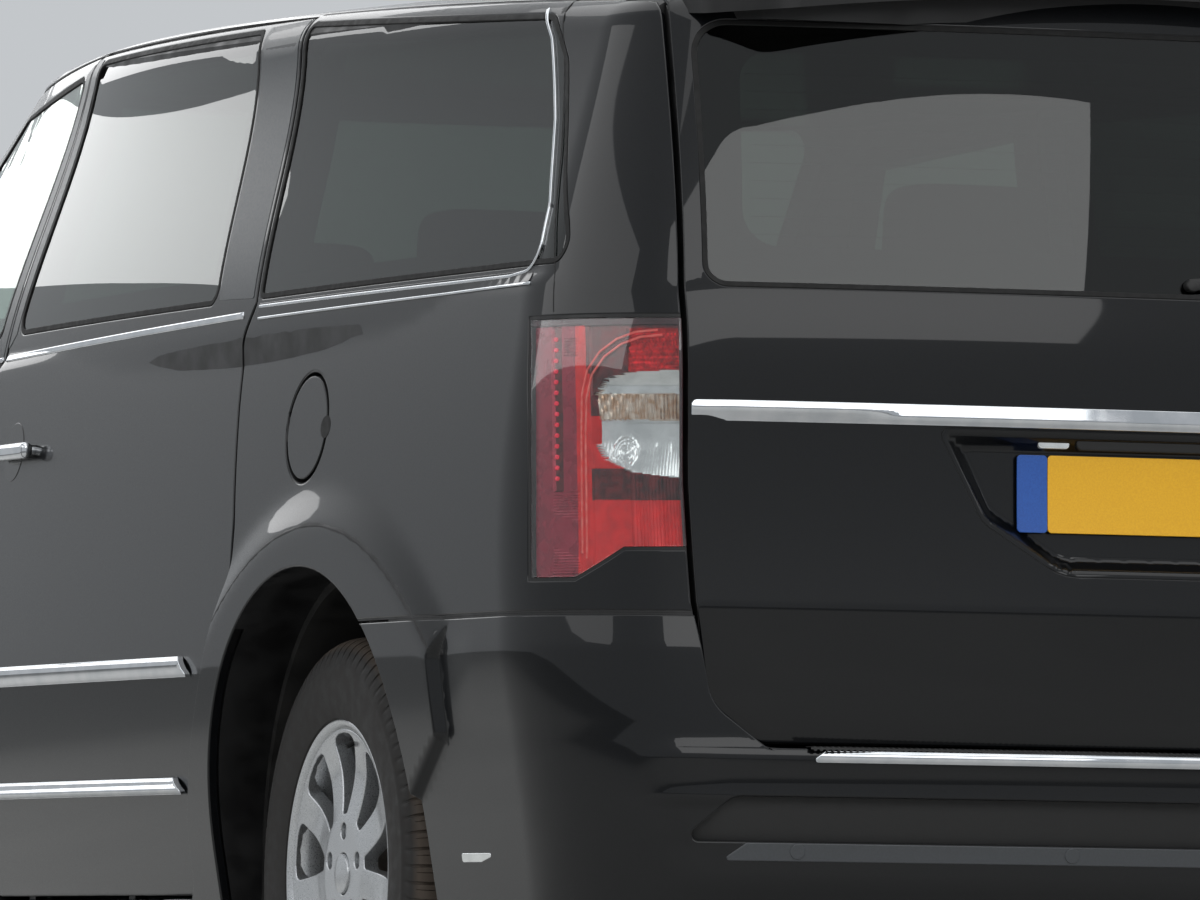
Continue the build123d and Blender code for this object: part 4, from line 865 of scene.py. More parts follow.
def circle(x, z, radius, n=72):
    """A closed circle of n points."""
    t = np.linspace(0, 2 * math.pi, n, endpoint=False)
    return np.stack([x + radius * np.cos(t), z + radius * np.sin(t)], 1)


def arc(x, z, radius, start, end, n):
    """Points of a circle from one angle to another, in degrees from straight ahead."""
    t = np.radians(np.linspace(start, end, n))
    return np.stack([x + radius * np.cos(t), z + radius * np.sin(t)], 1)


def line(*points, step=12.0):
    """Close points along straight runs between (a, b) corners."""
    p = np.array(points, float)
    runs = [np.linspace(a, b, max(2, int(math.hypot(*(b - a)) / step) + 1))[:-1] for a, b in zip(p, p[1:])]
    return np.concatenate(runs + [p[-1:]])


def joined(*runs):
    """One closed loop from runs of points, with repeated points dropped."""
    p = np.concatenate(runs)
    keep = np.hypot(*(p - np.roll(p, 1, 0)).T) > 1.5
    return p[keep]


def part_of(points, keep):
    """The points of a run for which keep holds."""
    return points[keep(points)]


def side_chart(points):
    """Chart points of side-view points ahead of the rear corner: there s is x + SIDE_S."""
    return points + (SIDE_S, 0)


# The side's outline is built in the chart, clockwise in the side view: up the tailgate's shut, round the
# lamp, forward along the roof's edge, down the pillar, back over the doors, down the door's shut and round
# the sill and the arch. DITCH_ANGLE is where the roof ditch lies on the roof's edge round.
DITCH_ANGLE = 66.0
SILL_FOOT, SILL_TOP, SILL_JOINT_X = 193.0, 315.0, 46.0
BUMPER_SEAM, GATE_GAP = 722.5, 8.0
door_edge = dense(grown(SLIDING_DOOR, GAP), 10)


def ditch(s):
    """Height of the roof ditch along the roof's edge round."""
    return np.interp(s, UPPER.s, EDGE_Z) + ROOF_EDGE * math.sin(math.radians(DITCH_ANGLE))


def shut_line(z0, z1, n):
    """Tail chart points up the tailgate's side between two heights, off its outline by GATE_GAP."""
    edge_y, edge_z, _ = np.array(TAILGATE_EDGE).T
    z = np.linspace(z0, z1, n)
    return from_end(body_skin, np.stack([np.interp(z, edge_z, edge_y) + GATE_GAP, z], 1))


def lamp_line(off):
    """Chart points from the tail lamp's foot at the tailgate round its front edge to its top, off by off."""
    low = np.array(LAMP_FOOT) - (0, off)
    front = np.array(LAMP_EDGE) + (off, 0)
    front[0, 1] -= off
    front[-1, 1] += off
    low = from_end(body_skin, line(*map(tuple, low), step=8))
    front = from_side(body_skin, line(*map(tuple, front), step=8))
    top = shut_line(front[-1, 1], front[-1, 1] + 1, 2)[0]
    return np.concatenate([line(*map(tuple, low), tuple(front[0]), step=8), front,
                           line(tuple(front[-1]), tuple(top), step=10)[1:]])


lamp_loop = joined(lamp_line(0.0), shut_line(814, 1140, 30)[::-1])

roof_s = np.arange(shut_line(1640, 1660, 2)[0, 0], UPPER.s3 + 210, 14.0)
pillar_z = np.linspace(1640, 1180, 40)
(foot_y, foot_z, _), (head_y, head_z, _) = WINDSCREEN_EDGE
pillar = from_front(upper_skin, np.stack([
    foot_y + (pillar_z - foot_z) / (head_z - foot_z) * (head_y - foot_y) + GAP, pillar_z], 1))
roof_s = roof_s[roof_s < pillar[0, 0] - 8]
frame_line = from_side(upper_skin, line((1092, 1199), (566, 1656), (480, 1661)))
door_tops = side_chart(line((380, 1662), (-62, 1674), (-1190, 1656)))
door_back = part_of(door_edge, lambda p: (p[:, 0] < -969) & (p[:, 1] < 1645) & (p[:, 1] > 330))
door_back = side_chart(door_back[np.argsort(-door_back[:, 1])])
arch_end = 180 - math.degrees(math.asin((BUMPER_SEAM - ARCH_Z) / ARCH_RADIUS))
wheel_arc = side_chart(arc(REAR_AXLE_X, ARCH_Z, ARCH_RADIUS, 0, arch_end, 70))
seam = shut_line(BUMPER_SEAM, 730, 2)[0, 0]
quarter = joined(
    shut_line(BUMPER_SEAM, 809, 8),
    lamp_line(4.0),
    shut_line(1146, 1640, 40),
    np.stack([roof_s, ditch(roof_s)], 1),
    np.array([(pillar[0, 0], ditch(pillar[0, 0]) - 4)]),
    pillar, frame_line, door_tops, door_back,
    side_chart(line((-962, SILL_TOP + 10), (-955, SILL_TOP), (SILL_JOINT_X, SILL_TOP),
                    (SILL_JOINT_X, SILL_FOOT), (REAR_AXLE_X + ARCH_RADIUS, SILL_FOOT),
                    (REAR_AXLE_X + ARCH_RADIUS, ARCH_Z))),
    wheel_arc,
    line(tuple(wheel_arc[-1]), (seam, BUMPER_SEAM)))
quarter_glass = side_chart(dense(grown(QUARTER_GLASS, 2.0), 10))
both_sides("side_panel", flared_skin, [quarter, quarter_glass], "body", PAINT,
           left_holes=[side_chart(circle(FLAP_X, FLAP_Z, FLAP_RADIUS + 4))], step=15.0)
sill = [(SILL_JOINT_X, SILL_FOOT), (1134, SILL_FOOT), (1134, SILL_TOP), (SILL_JOINT_X, SILL_TOP)]
both_sides("sill_front", lower_skin, [side_chart(line(*sill, sill[0])[:-1])], "body", PAINT)
panel("fuel_flap_skin", flared_skin, [side_chart(circle(FLAP_X, FLAP_Z, FLAP_RADIUS - 3.5))], "fuel_flap",
      PAINT, lip=1.6, flange=2.0)

# Doors
sliding_glass = side_chart(dense(grown(SLIDING_GLASS, 2.0), 10))
both_sides("sliding_door_skin", body_skin, [side_chart(dense(SLIDING_DOOR, 10)), sliding_glass],
           "body", PAINT, step=18.0)
front_low = joined(from_side(lower_skin,
                             part_of(dense(FRONT_DOOR, 10), lambda p: p[:, 1] < belt_z(p[:, 0]) - 3)))
both_sides("front_door_skin", lower_skin, [front_low], "front_door_SIDE", PAINT, step=20.0)
front_high = joined(from_side(upper_skin,
                              part_of(dense(FRONT_DOOR, 10), lambda p: p[:, 1] > belt_z(p[:, 0]) + 2)))
both_sides("front_door_frame", upper_skin,
           [front_high, from_side(upper_skin, dense(grown(FRONT_GLASS, 2.0), 10))],
           "front_door_SIDE", PAINT, step=18.0)

# Roof between its two ditches, and the header over the windscreen
edge_s = np.concatenate([np.arange(UPPER.s2 + 10, UPPER.length, 16.0), [UPPER.length]])
edge_reach = np.interp(edge_s, UPPER.s, EDGE_R) + ROOF_EDGE * math.cos(math.radians(DITCH_ANGLE)) - 4
edge_plan = UPPER.place(edge_s, np.zeros(len(edge_s)), edge_reach)[:, :2]
roof_tail = line((-2280, -edge_plan[0, 1]), (-2280, edge_plan[0, 1]), step=18)
roof_plan = joined(edge_plan, edge_plan[:-1][::-1] * (1, -1), roof_tail)
# The skin stays 0.15 mm under the highest point of the solids
panel("roof_skin", roof_skin, [roof_plan], "body", PAINT, step=34.0, flip=True, flange=6.0,
      out=lambda p: np.minimum(SKIN, ROOF_TOP - 0.15 - roof_z(p[:, 0], p[:, 1])))
header_s = np.arange(pillar[0, 0] + 6, UPPER.length, 14.0)
header_top = np.stack([header_s, ditch(header_s) - 1], 1)
span = 2 * UPPER.length
header = joined(header_top, (header_top[::-1] * (-1, 1)) + (span, 0),
                line((span - header_s[0], 1658), (header_s[0], 1658), step=14))


def header_skin(s, z, out=0.0):
    """The glasshouse's front edge as one chart: s runs on past the centre line to the other side."""
    p = upper_skin(np.where(s > UPPER.length, span - s, s), z, out)
    return p * np.stack([np.ones(len(s)), np.where(s > UPPER.length, -1.0, 1.0), np.ones(len(s))], 1)


panel("roof_header", header_skin, [header], "body", PAINT, step=16.0)

# Tailgate: painted skin round the glass and the plate's recess, the recess itself, and the roof spoiler
gate_edge = dense(mirrored(TAILGATE_EDGE), 12)
gate_edge = gate_edge[gate_edge[:, 1] < 1636]
gate = from_end(tailgate_skin, gate_edge)
gate_glass = from_end(tailgate_skin, dense(grown(mirrored(TAILGATE_GLASS_EDGE), 2.0), 10))
gate_recess = from_end(tailgate_skin, dense(mirrored(RECESS_EDGE), 10))
panel("tailgate_skin", tailgate_skin, [gate, gate_glass, gate_recess], "tailgate", PAINT, step=16.0,
      flange=9.0)


def recess_slope(p):
    """The recess's edge slopes in over 30 mm from the tailgate's skin to the floor."""
    return 0.8 - (RECESS_DEPTH - 1.0) * smooth((clearance(p, [recess_rim]) - 2) / 29)


recess_rim = from_end(tailgate_skin, dense(mirrored(RECESS_EDGE), 2.0, least=1.0))
recess_inner = from_end(tailgate_skin, dense(grown(mirrored(RECESS_EDGE), -32.0), 10))
panel("plate_recess_slope", tailgate_skin, [gate_recess, recess_inner], "tailgate", PAINT, out=recess_slope,
      step=8.0, lip=0.4, flange=0.4)
panel("plate_recess", tailgate_skin, [recess_inner], "tailgate", PAINT, out=1.0 - RECESS_DEPTH, step=26.0,
      lip=0.4, flange=0.4)
spoiler_plan = dense(mirrored([(p[1], p[0], p[2]) for p in SPOILER_EDGE]), 16)[:, ::-1]
panel("roof_spoiler", roof_skin_flat, [spoiler_plan], "tailgate", PAINT, out=1.5, step=24.0, lip=11.0,
      flange=13.0, flip=True, back=26.0)


# Rear bumper: shell with its shoulder, ledge and lip, the groove between them, the grey band and step pad

def bump(z, at, above, below):
    """A ridge 1 high at one height that runs out straight above and below it, its top rounded."""
    t = np.where(z > at, (z - at) / above, (at - z) / below)
    return np.maximum(1 - np.sqrt(t * t + 0.003), 0)


def bumper_skin(s, z, out=0.0):
    """The tail below the tailgate: the flared side, a shoulder line at z 672, a ledge at 520 and two lips
    round the groove, which run out towards the side."""
    a = np.abs(s)
    round_tail = smooth((SIDE_S - 2000 - a) / 160)
    across_tail = smooth((870 - a) / 90)
    shape = 5 * bump(z, 672, 50, 120) * round_tail
    shape = shape + across_tail * (6 * bump(z, 522, 16, 70) + 4 * bump(z, 459, 22, 12)
                                   + 5 * bump(z, 341, 46, 60))
    return UPPER.place(s, z, body_reach(s, z) + flare_stand(s, z) + shape + out)


BUMPER_EDGE, LEDGE_Z = BUMPER_SEAM - GAP, 531.5
bumper_end = 180 - math.degrees(math.asin((BUMPER_EDGE - ARCH_Z) / ARCH_RADIUS))
half_arc = arc(REAR_AXLE_X, ARCH_Z, ARCH_RADIUS, 180, bumper_end, 46)
notch = part_of(dense(grown(TAILGATE_EDGE[:5], 6.0), 10, closed=False),
                lambda p: (p[:, 1] < 716) & (p[:, 0] > 8))
notch = from_end(bumper_skin, notch[np.argsort(-notch[:, 1] + 0.01 * -notch[:, 0])])
foot = line((640, LEDGE_Z), (0, LEDGE_Z), step=14)
foot = from_end(bumper_skin, np.maximum(foot, (0.001, 0)))
bumper_half = joined(
    line((0, SILL_FOOT), (REAR_AXLE_X - ARCH_RADIUS + SIDE_S, SILL_FOOT),
         (REAR_AXLE_X - ARCH_RADIUS + SIDE_S, ARCH_Z), step=16),
    side_chart(half_arc),
    line(tuple(side_chart(half_arc)[-1]), (notch[0, 0] + 1, BUMPER_EDGE)),
    notch, foot)
bumper_loop = joined(bumper_half, bumper_half[::-1] * (-1, 1))
groove_edge = from_end(bumper_skin, dense(mirrored(GROOVE_EDGE), 10))
# Close points along both sides of the crease where the flare's tail ends, and along the ridges
crease = np.concatenate(
    [line((-2064 + off, 719), np.add(FLARE_BEND, (off, 0)), (-2028 + off, 549), step=6)
     for off in (-8, -4, 0, 4, 8)]
    + [line(np.add(FLARE_TIP, (0, off)), np.add(FLARE_FRONT, (0, off)), step=6) for off in (-10, -5, 0, 5)])
ridge_s = np.arange(-900, 901, 9.0)
ridges = [np.stack([ridge_s, np.full(len(ridge_s), z)], 1)
          for z in (341, 356, 371, 384, 397, 406, 452, 459, 466, 506, 514, 522, 530, 664, 672, 680)]
crease = np.concatenate([side_chart(crease), side_chart(crease) * (-1, 1), *ridges])
panel("bumper_skin", bumper_skin, [bumper_loop, groove_edge], "body", PAINT, step=14.0, flange=GROOVE_DEPTH,
      more=crease)
panel("bumper_groove", body_skin, [from_end(body_skin, dense(grown(mirrored(GROOVE_EDGE), 6.0), 14))], "body",
      BLACK_PLASTIC, out=1.0 - GROOVE_DEPTH, step=30.0, lip=1.0, flange=2.0)

BAND = [(-704, 371, 0), (-668, 397, 6), (668, 397, 6), (704, 371, 0)]
panel("bumper_band", bumper_skin, [from_end(bumper_skin, dense(BAND, 10))], "body", BAND_GREY, out=2.6,
      step=12.0, lip=1.6, flange=2.5)
for i, y in enumerate((-595, -190, 190, 595)):
    spot = from_end(bumper_skin, circle(y, 385, 11.0, 40))
    panel(f"parking_sensor_{i + 1}", bumper_skin, [spot], "body", BAND_GREY, out=4.2, step=9.0, lip=1.2,
          flange=3.0)

# Ribbed step pad on the ledge. Its height over LEDGE_Z is the edge's rise times 1.2 mm, and 1.6 mm more on
# the ribs, whose section is half of 1 + tanh(4 sin) of the way along; it bows with the tail's plan
RIB_PITCH, TAIL_BOW = 9.0, 17000.0
pad_y = np.arange(-584.0, 585.0, 1.5)
pad_x = np.concatenate([[-2573.0, -2572.0], np.linspace(-2569, -2541, 4), [-2538.5, -2538.0]])
rise = np.array([-1.5, 0.6, 1.0, 1.0, 1.0, 1.0, 0.6, -1.5])
rib = 0.5 + 0.5 * np.tanh(4 * np.sin(2 * math.pi * pad_y / RIB_PITCH))
pad_points = np.broadcast_arrays(pad_x[None, :] + (pad_y ** 2 / TAIL_BOW)[:, None], pad_y[:, None],
                                 LEDGE_Z + rise[None, :] * (1.2 + 1.6 * rib[:, None]))
grid_piece("step_pad", [(np.stack(pad_points, 2), False, False)], "body", BLACK_PLASTIC, flip=True)


# Glass: closed panes 5 mm thick in the rebates of the solids

def pane(name, skin, loop, body, finish, stands_for):
    """A closed pane 5 mm thick, 0.8 mm behind the body's face."""
    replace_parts(panel(name, skin, [loop], body, finish, out=-0.8, step=34.0, lip=1.0, flange=2.5, back=5.0),
                stands_for)


def across_centre(points):
    """Points of header_skin's chart from an end-view outline that crosses the centre."""
    chart = from_front(upper_skin, points)
    return np.stack([np.where(points[:, 0] < 0, span - chart[:, 0], chart[:, 0]), chart[:, 1]], 1)


for side, sign in SIDES:
    for name, edge in (("sliding_glass", SLIDING_GLASS), ("quarter_glass", QUARTER_GLASS)):
        pane(f"{name}_{side}", upper_skin, side_chart(dense(grown(edge, -0.6), 12)) * (sign, 1.0), "body",
             PRIVACY_GLASS, "side_glass")
    pane(f"door_glass_{side}", upper_skin,
         from_side(upper_skin, dense(grown(FRONT_GLASS, -0.6), 12)) * (sign, 1.0),
         f"front_door_{side}", CLEAR_GLASS, f"front_glass_{side}")
pane("rear_glass", upper_skin, from_end(upper_skin, dense(grown(mirrored(TAILGATE_GLASS_EDGE), -0.6), 12)),
     "tailgate", PRIVACY_GLASS, "tailgate_glass")
screen = dense(grown(mirrored(WINDSCREEN_EDGE), -0.6), 12)
pane("windscreen_glass", header_skin,
     across_centre(np.stack([screen[:, 0], np.maximum(screen[:, 1], 1129)], 1)),
     "body", CLEAR_GLASS, "windscreen")

# Printed heater lines on the inside of the rear glass
HEATER_FOOT, HEATER_TOP, HEATER_PITCH = 1262, 1520, 26
heater = []
for z in range(HEATER_FOOT, HEATER_TOP, HEATER_PITCH):
    half = 640 - (z - HEATER_FOOT) * 0.05
    run = from_end(upper_skin, line((half, z), (0.001, z), step=24))
    run = np.concatenate([run, run[::-1] * (-1, 1)])
    rows = [upper_skin(run[:, 0], run[:, 1] + dz, -6.3) for dz in (-0.5, 0.5)]
    heater.append((np.stack(rows), False, False))
grid_piece("heater_lines", heater, "tailgate", HEATER_PRINT)


# Tail lamps: a clear outer lens over a relief of reflectors, with light pipe and diodes behind it

LAMP_TOP = 1139.0
lamp_front_s = from_side(body_skin, np.array(LAMP_EDGE))


def lamp_in(z):
    """Chart s of the lamp's inner edge along the tailgate."""
    edge = shut_line(814, 1140, 12)
    return np.interp(z, edge[:, 1], edge[:, 0])


def lamp_wide(z):
    """Width of the lamp along the chart."""
    return np.interp(z, lamp_front_s[:, 1], lamp_front_s[:, 0]) - lamp_in(z)


def lamp_chart(w, z):
    """Chart points from w, the share of the lamp's width from the tailgate to its front edge, and height."""
    return np.stack([lamp_in(z) + w * lamp_wide(z), z], 1)


def between(v, a, b):
    """Whether each value lies between a and b."""
    return (v > a) & (v < b)


# Outline of the clear lamp in the middle, (w, z): round corners at the front, foot falling to the tailgate
CLEAR_TOP = [(0.025, 1066), (0.36, 1062), (0.52, 1052), (0.585, 1030)]
CLEAR_FOOT = [(0.02, 911), (0.36, 920), (0.53, 938), (0.588, 962)]
DIODES = [(0.842, 912 + 15.4 * k) for k in range(14)]
PIPE_RUN = [(0.155, 1122), (0.30, 1119), (0.42, 1109), (0.53, 1091), (0.61, 1066), (0.65, 1030), (0.66, 990),
            (0.665, 804)]
MAGENTA, BRIGHT, DARK, CLEAR, AMBER_COVER, SMOKED, CRYSTAL = range(7)
LAMP_FINISHES = [BAND_RED, BRIGHT_RED, DARK_RED, LAMP_SILVER, AMBER, SMOKED_RED, CRYSTAL_RED]


def lamp_finish(w, z):
    """The finish of each point of the relief, as an index into LAMP_FINISHES; later zones lie over others."""
    top = np.interp(w, *np.transpose(CLEAR_TOP))
    low = np.interp(w, *np.transpose(CLEAR_FOOT))
    clear = between(w, 0.03, 0.588) & (z < top) & (z > low)
    zone = np.full(len(w), BRIGHT)
    for where, finish in (
            (w > 0.67, MAGENTA),
            (between(w, 0.805, 0.872) & between(z, 893, 1127), DARK),
            (between(w, 0.0, 0.64) & (z > 1060), DARK),
            (between(w, 0.03, 0.365) & between(z, 1060, 1124), CRYSTAL),
            (between(w, 0.03, 0.60) & between(z, 880, 925), DARK),
            (between(w, 0.36, 0.60) & between(z, 1000, 1090), DARK),
            (between(w, 0.62, 0.705), BRIGHT),
            (clear, CLEAR),
            (clear & between(z, 994, 1032), AMBER_COVER),
            ((w < 0.028) | (z > 1129), SMOKED)):
        zone[where] = finish
    return zone


def lamp_relief(w, z, zone):
    """Depth of the reflectors behind the surface in millimetres: ribs across the band's foot every 4 mm,
    upright ribs every 6 mm in the clear and lower lamps, facets 7 mm wide in the crystal, a trench for the
    diodes and a bowl round the bulb."""
    d = w * lamp_wide(z)
    depth = np.full(len(w), 9.0)
    ribs = between(w, 0.69, 0.88) & (z < 893) | between(w, 0.69, 0.80) & (z > 1085)
    depth = np.where(ribs, 9 + 1.1 * np.abs(np.sin(math.pi * z / 4.0)), depth)
    depth = np.where(between(w, 0.805, 0.872) & between(z, 893, 1127), 13.0, depth)
    facet = 2.6 * np.abs((d / 7.0 + np.floor(z / 7.0) * 0.5) % 1.0 - 0.5)
    facet = facet + 2.6 * np.abs((z / 7.0) % 1.0 - 0.5)
    depth = np.where(zone == CRYSTAL, 11 + 2 * facet, depth)
    flutes = np.abs(np.sin(math.pi * d / 6.0))
    depth = np.where(zone == AMBER_COVER, 16 + 2.4 * flutes, depth)
    bulb = np.hypot(d - 118, z - 948)
    rings = 1.2 * np.abs(np.sin(math.pi * bulb / 5.0)) * (bulb < 24)
    hollow = 14 * np.sqrt(np.clip(1 - ((d - 90) / 105) ** 2, 0, 1))
    bowl = 12 + hollow * smooth((z - 905) / 60) * smooth((1072 - z) / 30)
    depth = np.where(zone == CLEAR, bowl + 0.5 * flutes * (z < 990) - rings, depth)
    lower = between(w, 0.03, 0.36) & (z < 925) & (zone != CLEAR)
    depth = np.where(lower, 12 + 2.0 * flutes, depth)
    depth = np.where(between(w, 0.60, 0.665), 5.5, depth)
    return np.where(zone == SMOKED, 3.4, depth)


lamp_w = np.linspace(0.0, 1.0, 131)
foot_z = np.interp(lamp_w, [0.0, 0.366, 0.695, 1.0], [815.5, 814.5, 772.0, 771.5])
share = np.linspace(0, 1, 181)
grid_w = np.repeat(lamp_w[:, None], len(share), 1)
grid_z = foot_z[:, None] + share[None, :] * (LAMP_TOP - foot_z[:, None])
grid_w, cell_w = grid_w.ravel(), ((grid_w[:-1, :-1] + grid_w[1:, 1:]) / 2).ravel()
grid_z, cell_z = grid_z.ravel(), ((grid_z[:-1, :-1] + grid_z[1:, 1:]) / 2).ravel()
depths = lamp_relief(grid_w, grid_z, lamp_finish(grid_w, grid_z))
relief_chart = lamp_chart(grid_w, grid_z)
pipe_run = line(*[(a * 1000, b) for a, b in PIPE_RUN], step=10) / (1000, 1)
diode = turned_profile([(-4.0, 0.0), (-4.0, 3.4), (-1.0, 3.2), (0.0, 2.0), (0.4, 0.0)], 12)
for side, sign in SIDES:
    relief = add_mesh(f"tail_lamp_reflector_{side}",
                      body_skin(relief_chart[:, 0] * sign, relief_chart[:, 1], -depths),
                      grid_faces(len(lamp_w), len(share), False, False)[:, ::int(-sign)], "body",
                      LAMP_FINISHES, indices=lamp_finish(cell_w, cell_z), sharp=30.0)
    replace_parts(relief, "tail_lamps")
    cover = panel(f"tail_lamp_lens_{side}", body_skin, [lamp_loop * (sign, 1.0)], "body", CLEAR_LENS, out=0.6,
                  step=12.0, lip=1.6, flange=0.6, back=2.4)
    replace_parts(cover, "tail_lamps")
    grids = []
    for at, n, da, db in zip(*frame_of(body_skin, lamp_chart(*np.transpose(DIODES)) * (sign, 1.0))):
        ring = at - n * 8.4 + diode[..., 1:2] * n + diode[..., :1] * da + diode[..., 2:] * db
        grids.append((ring, True, False))
    grid_piece(f"tail_lamp_diodes_{side}", grids, "body", DIODE_RED, flip=sign > 0)
    runs = []
    for shift in (0.0, -0.028):
        c = lamp_chart(pipe_run[:, 0] + shift, pipe_run[:, 1] + shift * 260) * (sign, 1.0)
        runs.append((tube(body_skin(c[:, 0], c[:, 1], -4.6), 1.7, 8), False, True))
    grid_piece(f"tail_lamp_light_pipe_{side}", runs, "body", PIPE_RED, flip=True)


# Wheels: tyre with cut tread, nine-spoke cast rim, brake disc, cap and nuts

TREAD_PITCHES = 85
SPOKES = 9
STUD_CIRCLE = 127.0
WINDOW = [(-9, 90, 6), (9, 90, 6), (45, 199, 13), (23, 207, 0), (0, 209, 0), (-23, 207, 0), (-45, 199, 13)]
# Half the tyre's profile from its bead to the tread's middle, (y, radius), and the inner lining
TREAD = AXLE_Z - 0.15
TYRE_HALF = [(91.0, 214.5), (96.0, 219.0), (99.0, 224.0), (99.8, 229.5), (102.5, 231.0), (104.0, 236.0),
             (107.5, 250.0), (109.2, 264.0), (109.9, 276.0), (109.6, 290.0), (108.8, 302.0), (109.0, 303.5),
             (107.6, 309.0), (107.0, 310.0), (104.5, 320.0), (101.0, 328.5), (96.5, 335.5), (91.0, 341.0),
             (84.0, 345.4), (76.0, 348.6), (68.0, 350.6), (59.0, 351.8), (58.0, 351.9), (57.0, 352.0),
             (50.0, 352.4), (49.0, 352.4), (48.0, 352.5), (36.0, 352.8), (23.0, TREAD), (22.0, TREAD),
             (21.0, TREAD), (14.0, TREAD), (13.0, TREAD), (12.0, TREAD), (0.0, TREAD)]
TYRE_LINING = [(-84.0, 216.0), (-78.0, 224.0), (78.0, 224.0), (84.0, 216.0)]


def tyre_points():
    """The tyre as rings of profile points. The profile runs from bead to bead over the tread; grooves are cut
    into the tread's radius: two pairs round the tyre, 7 mm deep, one cross groove of 6 mm per pitch over each
    shoulder and one of 5 mm over each inner row, with a sipe of 2.6 mm between them. Also says where it is
    worn."""
    y, r = np.array(TYRE_HALF + [(-a, b) for a, b in TYRE_HALF[-2::-1]]).T
    lining_y, lining_r = np.array(TYRE_LINING).T
    across = np.array([0.0, 0.035, 0.16, 0.20, 0.46, 0.49, 0.52, 0.76])
    turn = ((np.arange(TREAD_PITCHES)[:, None] + across[None, :]) / TREAD_PITCHES * 2 * math.pi).ravel()
    share = np.tile(across, TREAD_PITCHES)[:, None]
    a = np.abs(y)
    around = (between(a, 49.5, 57.5) | between(a, 13.5, 21.5)) * 1.0
    shoulder = between(a, 58.5, 108.0) * smooth((r - 312) / 14)
    cross, sipe = between(share, 0.02, 0.18) * 1.0, between(share, 0.47, 0.51) * 1.0
    cut = np.maximum(7.0 * around, 6.0 * shoulder * cross)
    cut = np.maximum(cut, 2.6 * shoulder * smooth((r - 335) / 8) * sipe)
    cut = np.maximum(cut, 5.0 * between(a, 22.5, 48.5) * cross)
    radius = r - cut * np.clip((r - 300) / 50, 0, 1)
    radius = np.concatenate([radius, np.broadcast_to(lining_r, (len(turn), len(lining_r)))], 1)
    points = np.stack([radius * np.cos(turn)[:, None],
                       np.broadcast_to(np.concatenate([y, lining_y]), radius.shape),
                       radius * np.sin(turn)[:, None]], 2)
    worn = np.concatenate([smooth((r - 330) / 12), np.zeros(len(lining_r))])
    return points, np.broadcast_to(worn, radius.shape)


def face_height(r):
    """How far out the cast face lies: flat at the hub, hollow along the spokes, up to the lip."""
    return 92.0 - 7.0 * np.sin(math.pi * np.clip((r - 80) / 134, 0, 1)) + 3.0 * smooth((r - 150) / 60)


def spun(points, times):
    """Copies of plane points turned evenly round the origin."""
    t = np.radians(np.arange(times) * 360.0 / times)
    return [points @ np.array([[math.cos(a), -math.sin(a)], [math.sin(a), math.cos(a)]]).T for a in t]


tyre_grid, tyre_worn = tyre_points()
RIM_PROFILE = [(99.6, 228.8), (101.0, 227.0), (100.4, 222.5), (97.5, 217.5), (94.0, 214.5), (88.0, 210.5),
               (70.0, 207.0), (30.0, 203.0), (-40.0, 200.0), (-86.0, 206.0), (-97.0, 219.0), (-100.0, 224.0),
               (-100.0, 229.0), (-95.0, 229.0), (-93.0, 215.5), (93.0, 215.5), (95.5, 222.0), (97.0, 229.0)]
DISC_PROFILE = [(-12.0, 60.0), (-12.0, 149.5), (-3.5, 149.5), (-3.5, 144.0), (3.5, 144.0), (3.5, 149.5),
                (12.0, 149.5), (12.0, 82.0), (34.0, 78.0), (66.0, 78.0), (66.0, 33.0), (60.0, 32.0),
                (-11.0, 60.0)]
CAP_PROFILE = [(97.0, 0.0), (96.8, 14.0), (96.0, 24.0), (95.0, 28.6), (93.0, 29.6), (88.0, 29.6),
               (84.0, 29.6), (84.0, 0.0)]
NUT_PROFILE = [(67.0, 0.0), (67.0, 12.0), (72.0, 12.0), (72.5, 10.2), (84.0, 10.2), (86.5, 8.0), (87.0, 0.0)]
VALVE_ANGLE, VALVE_STEM = math.radians(100), [(201, 84), (196, 92), (191, 100)]
windows = spun(dense(WINDOW, 5)[:, :2], SPOKES)
studs = [(STUD_CIRCLE / 2 * math.cos(a), STUD_CIRCLE / 2 * math.sin(a))
         for a in np.radians(90 + 72 * np.arange(5))]
face_loops = [circle(0, 0, 215.0, 240), *windows, *[circle(x, z, 12.5, 36) for x, z in studs],
              circle(0, 0, 31.0, 60)]

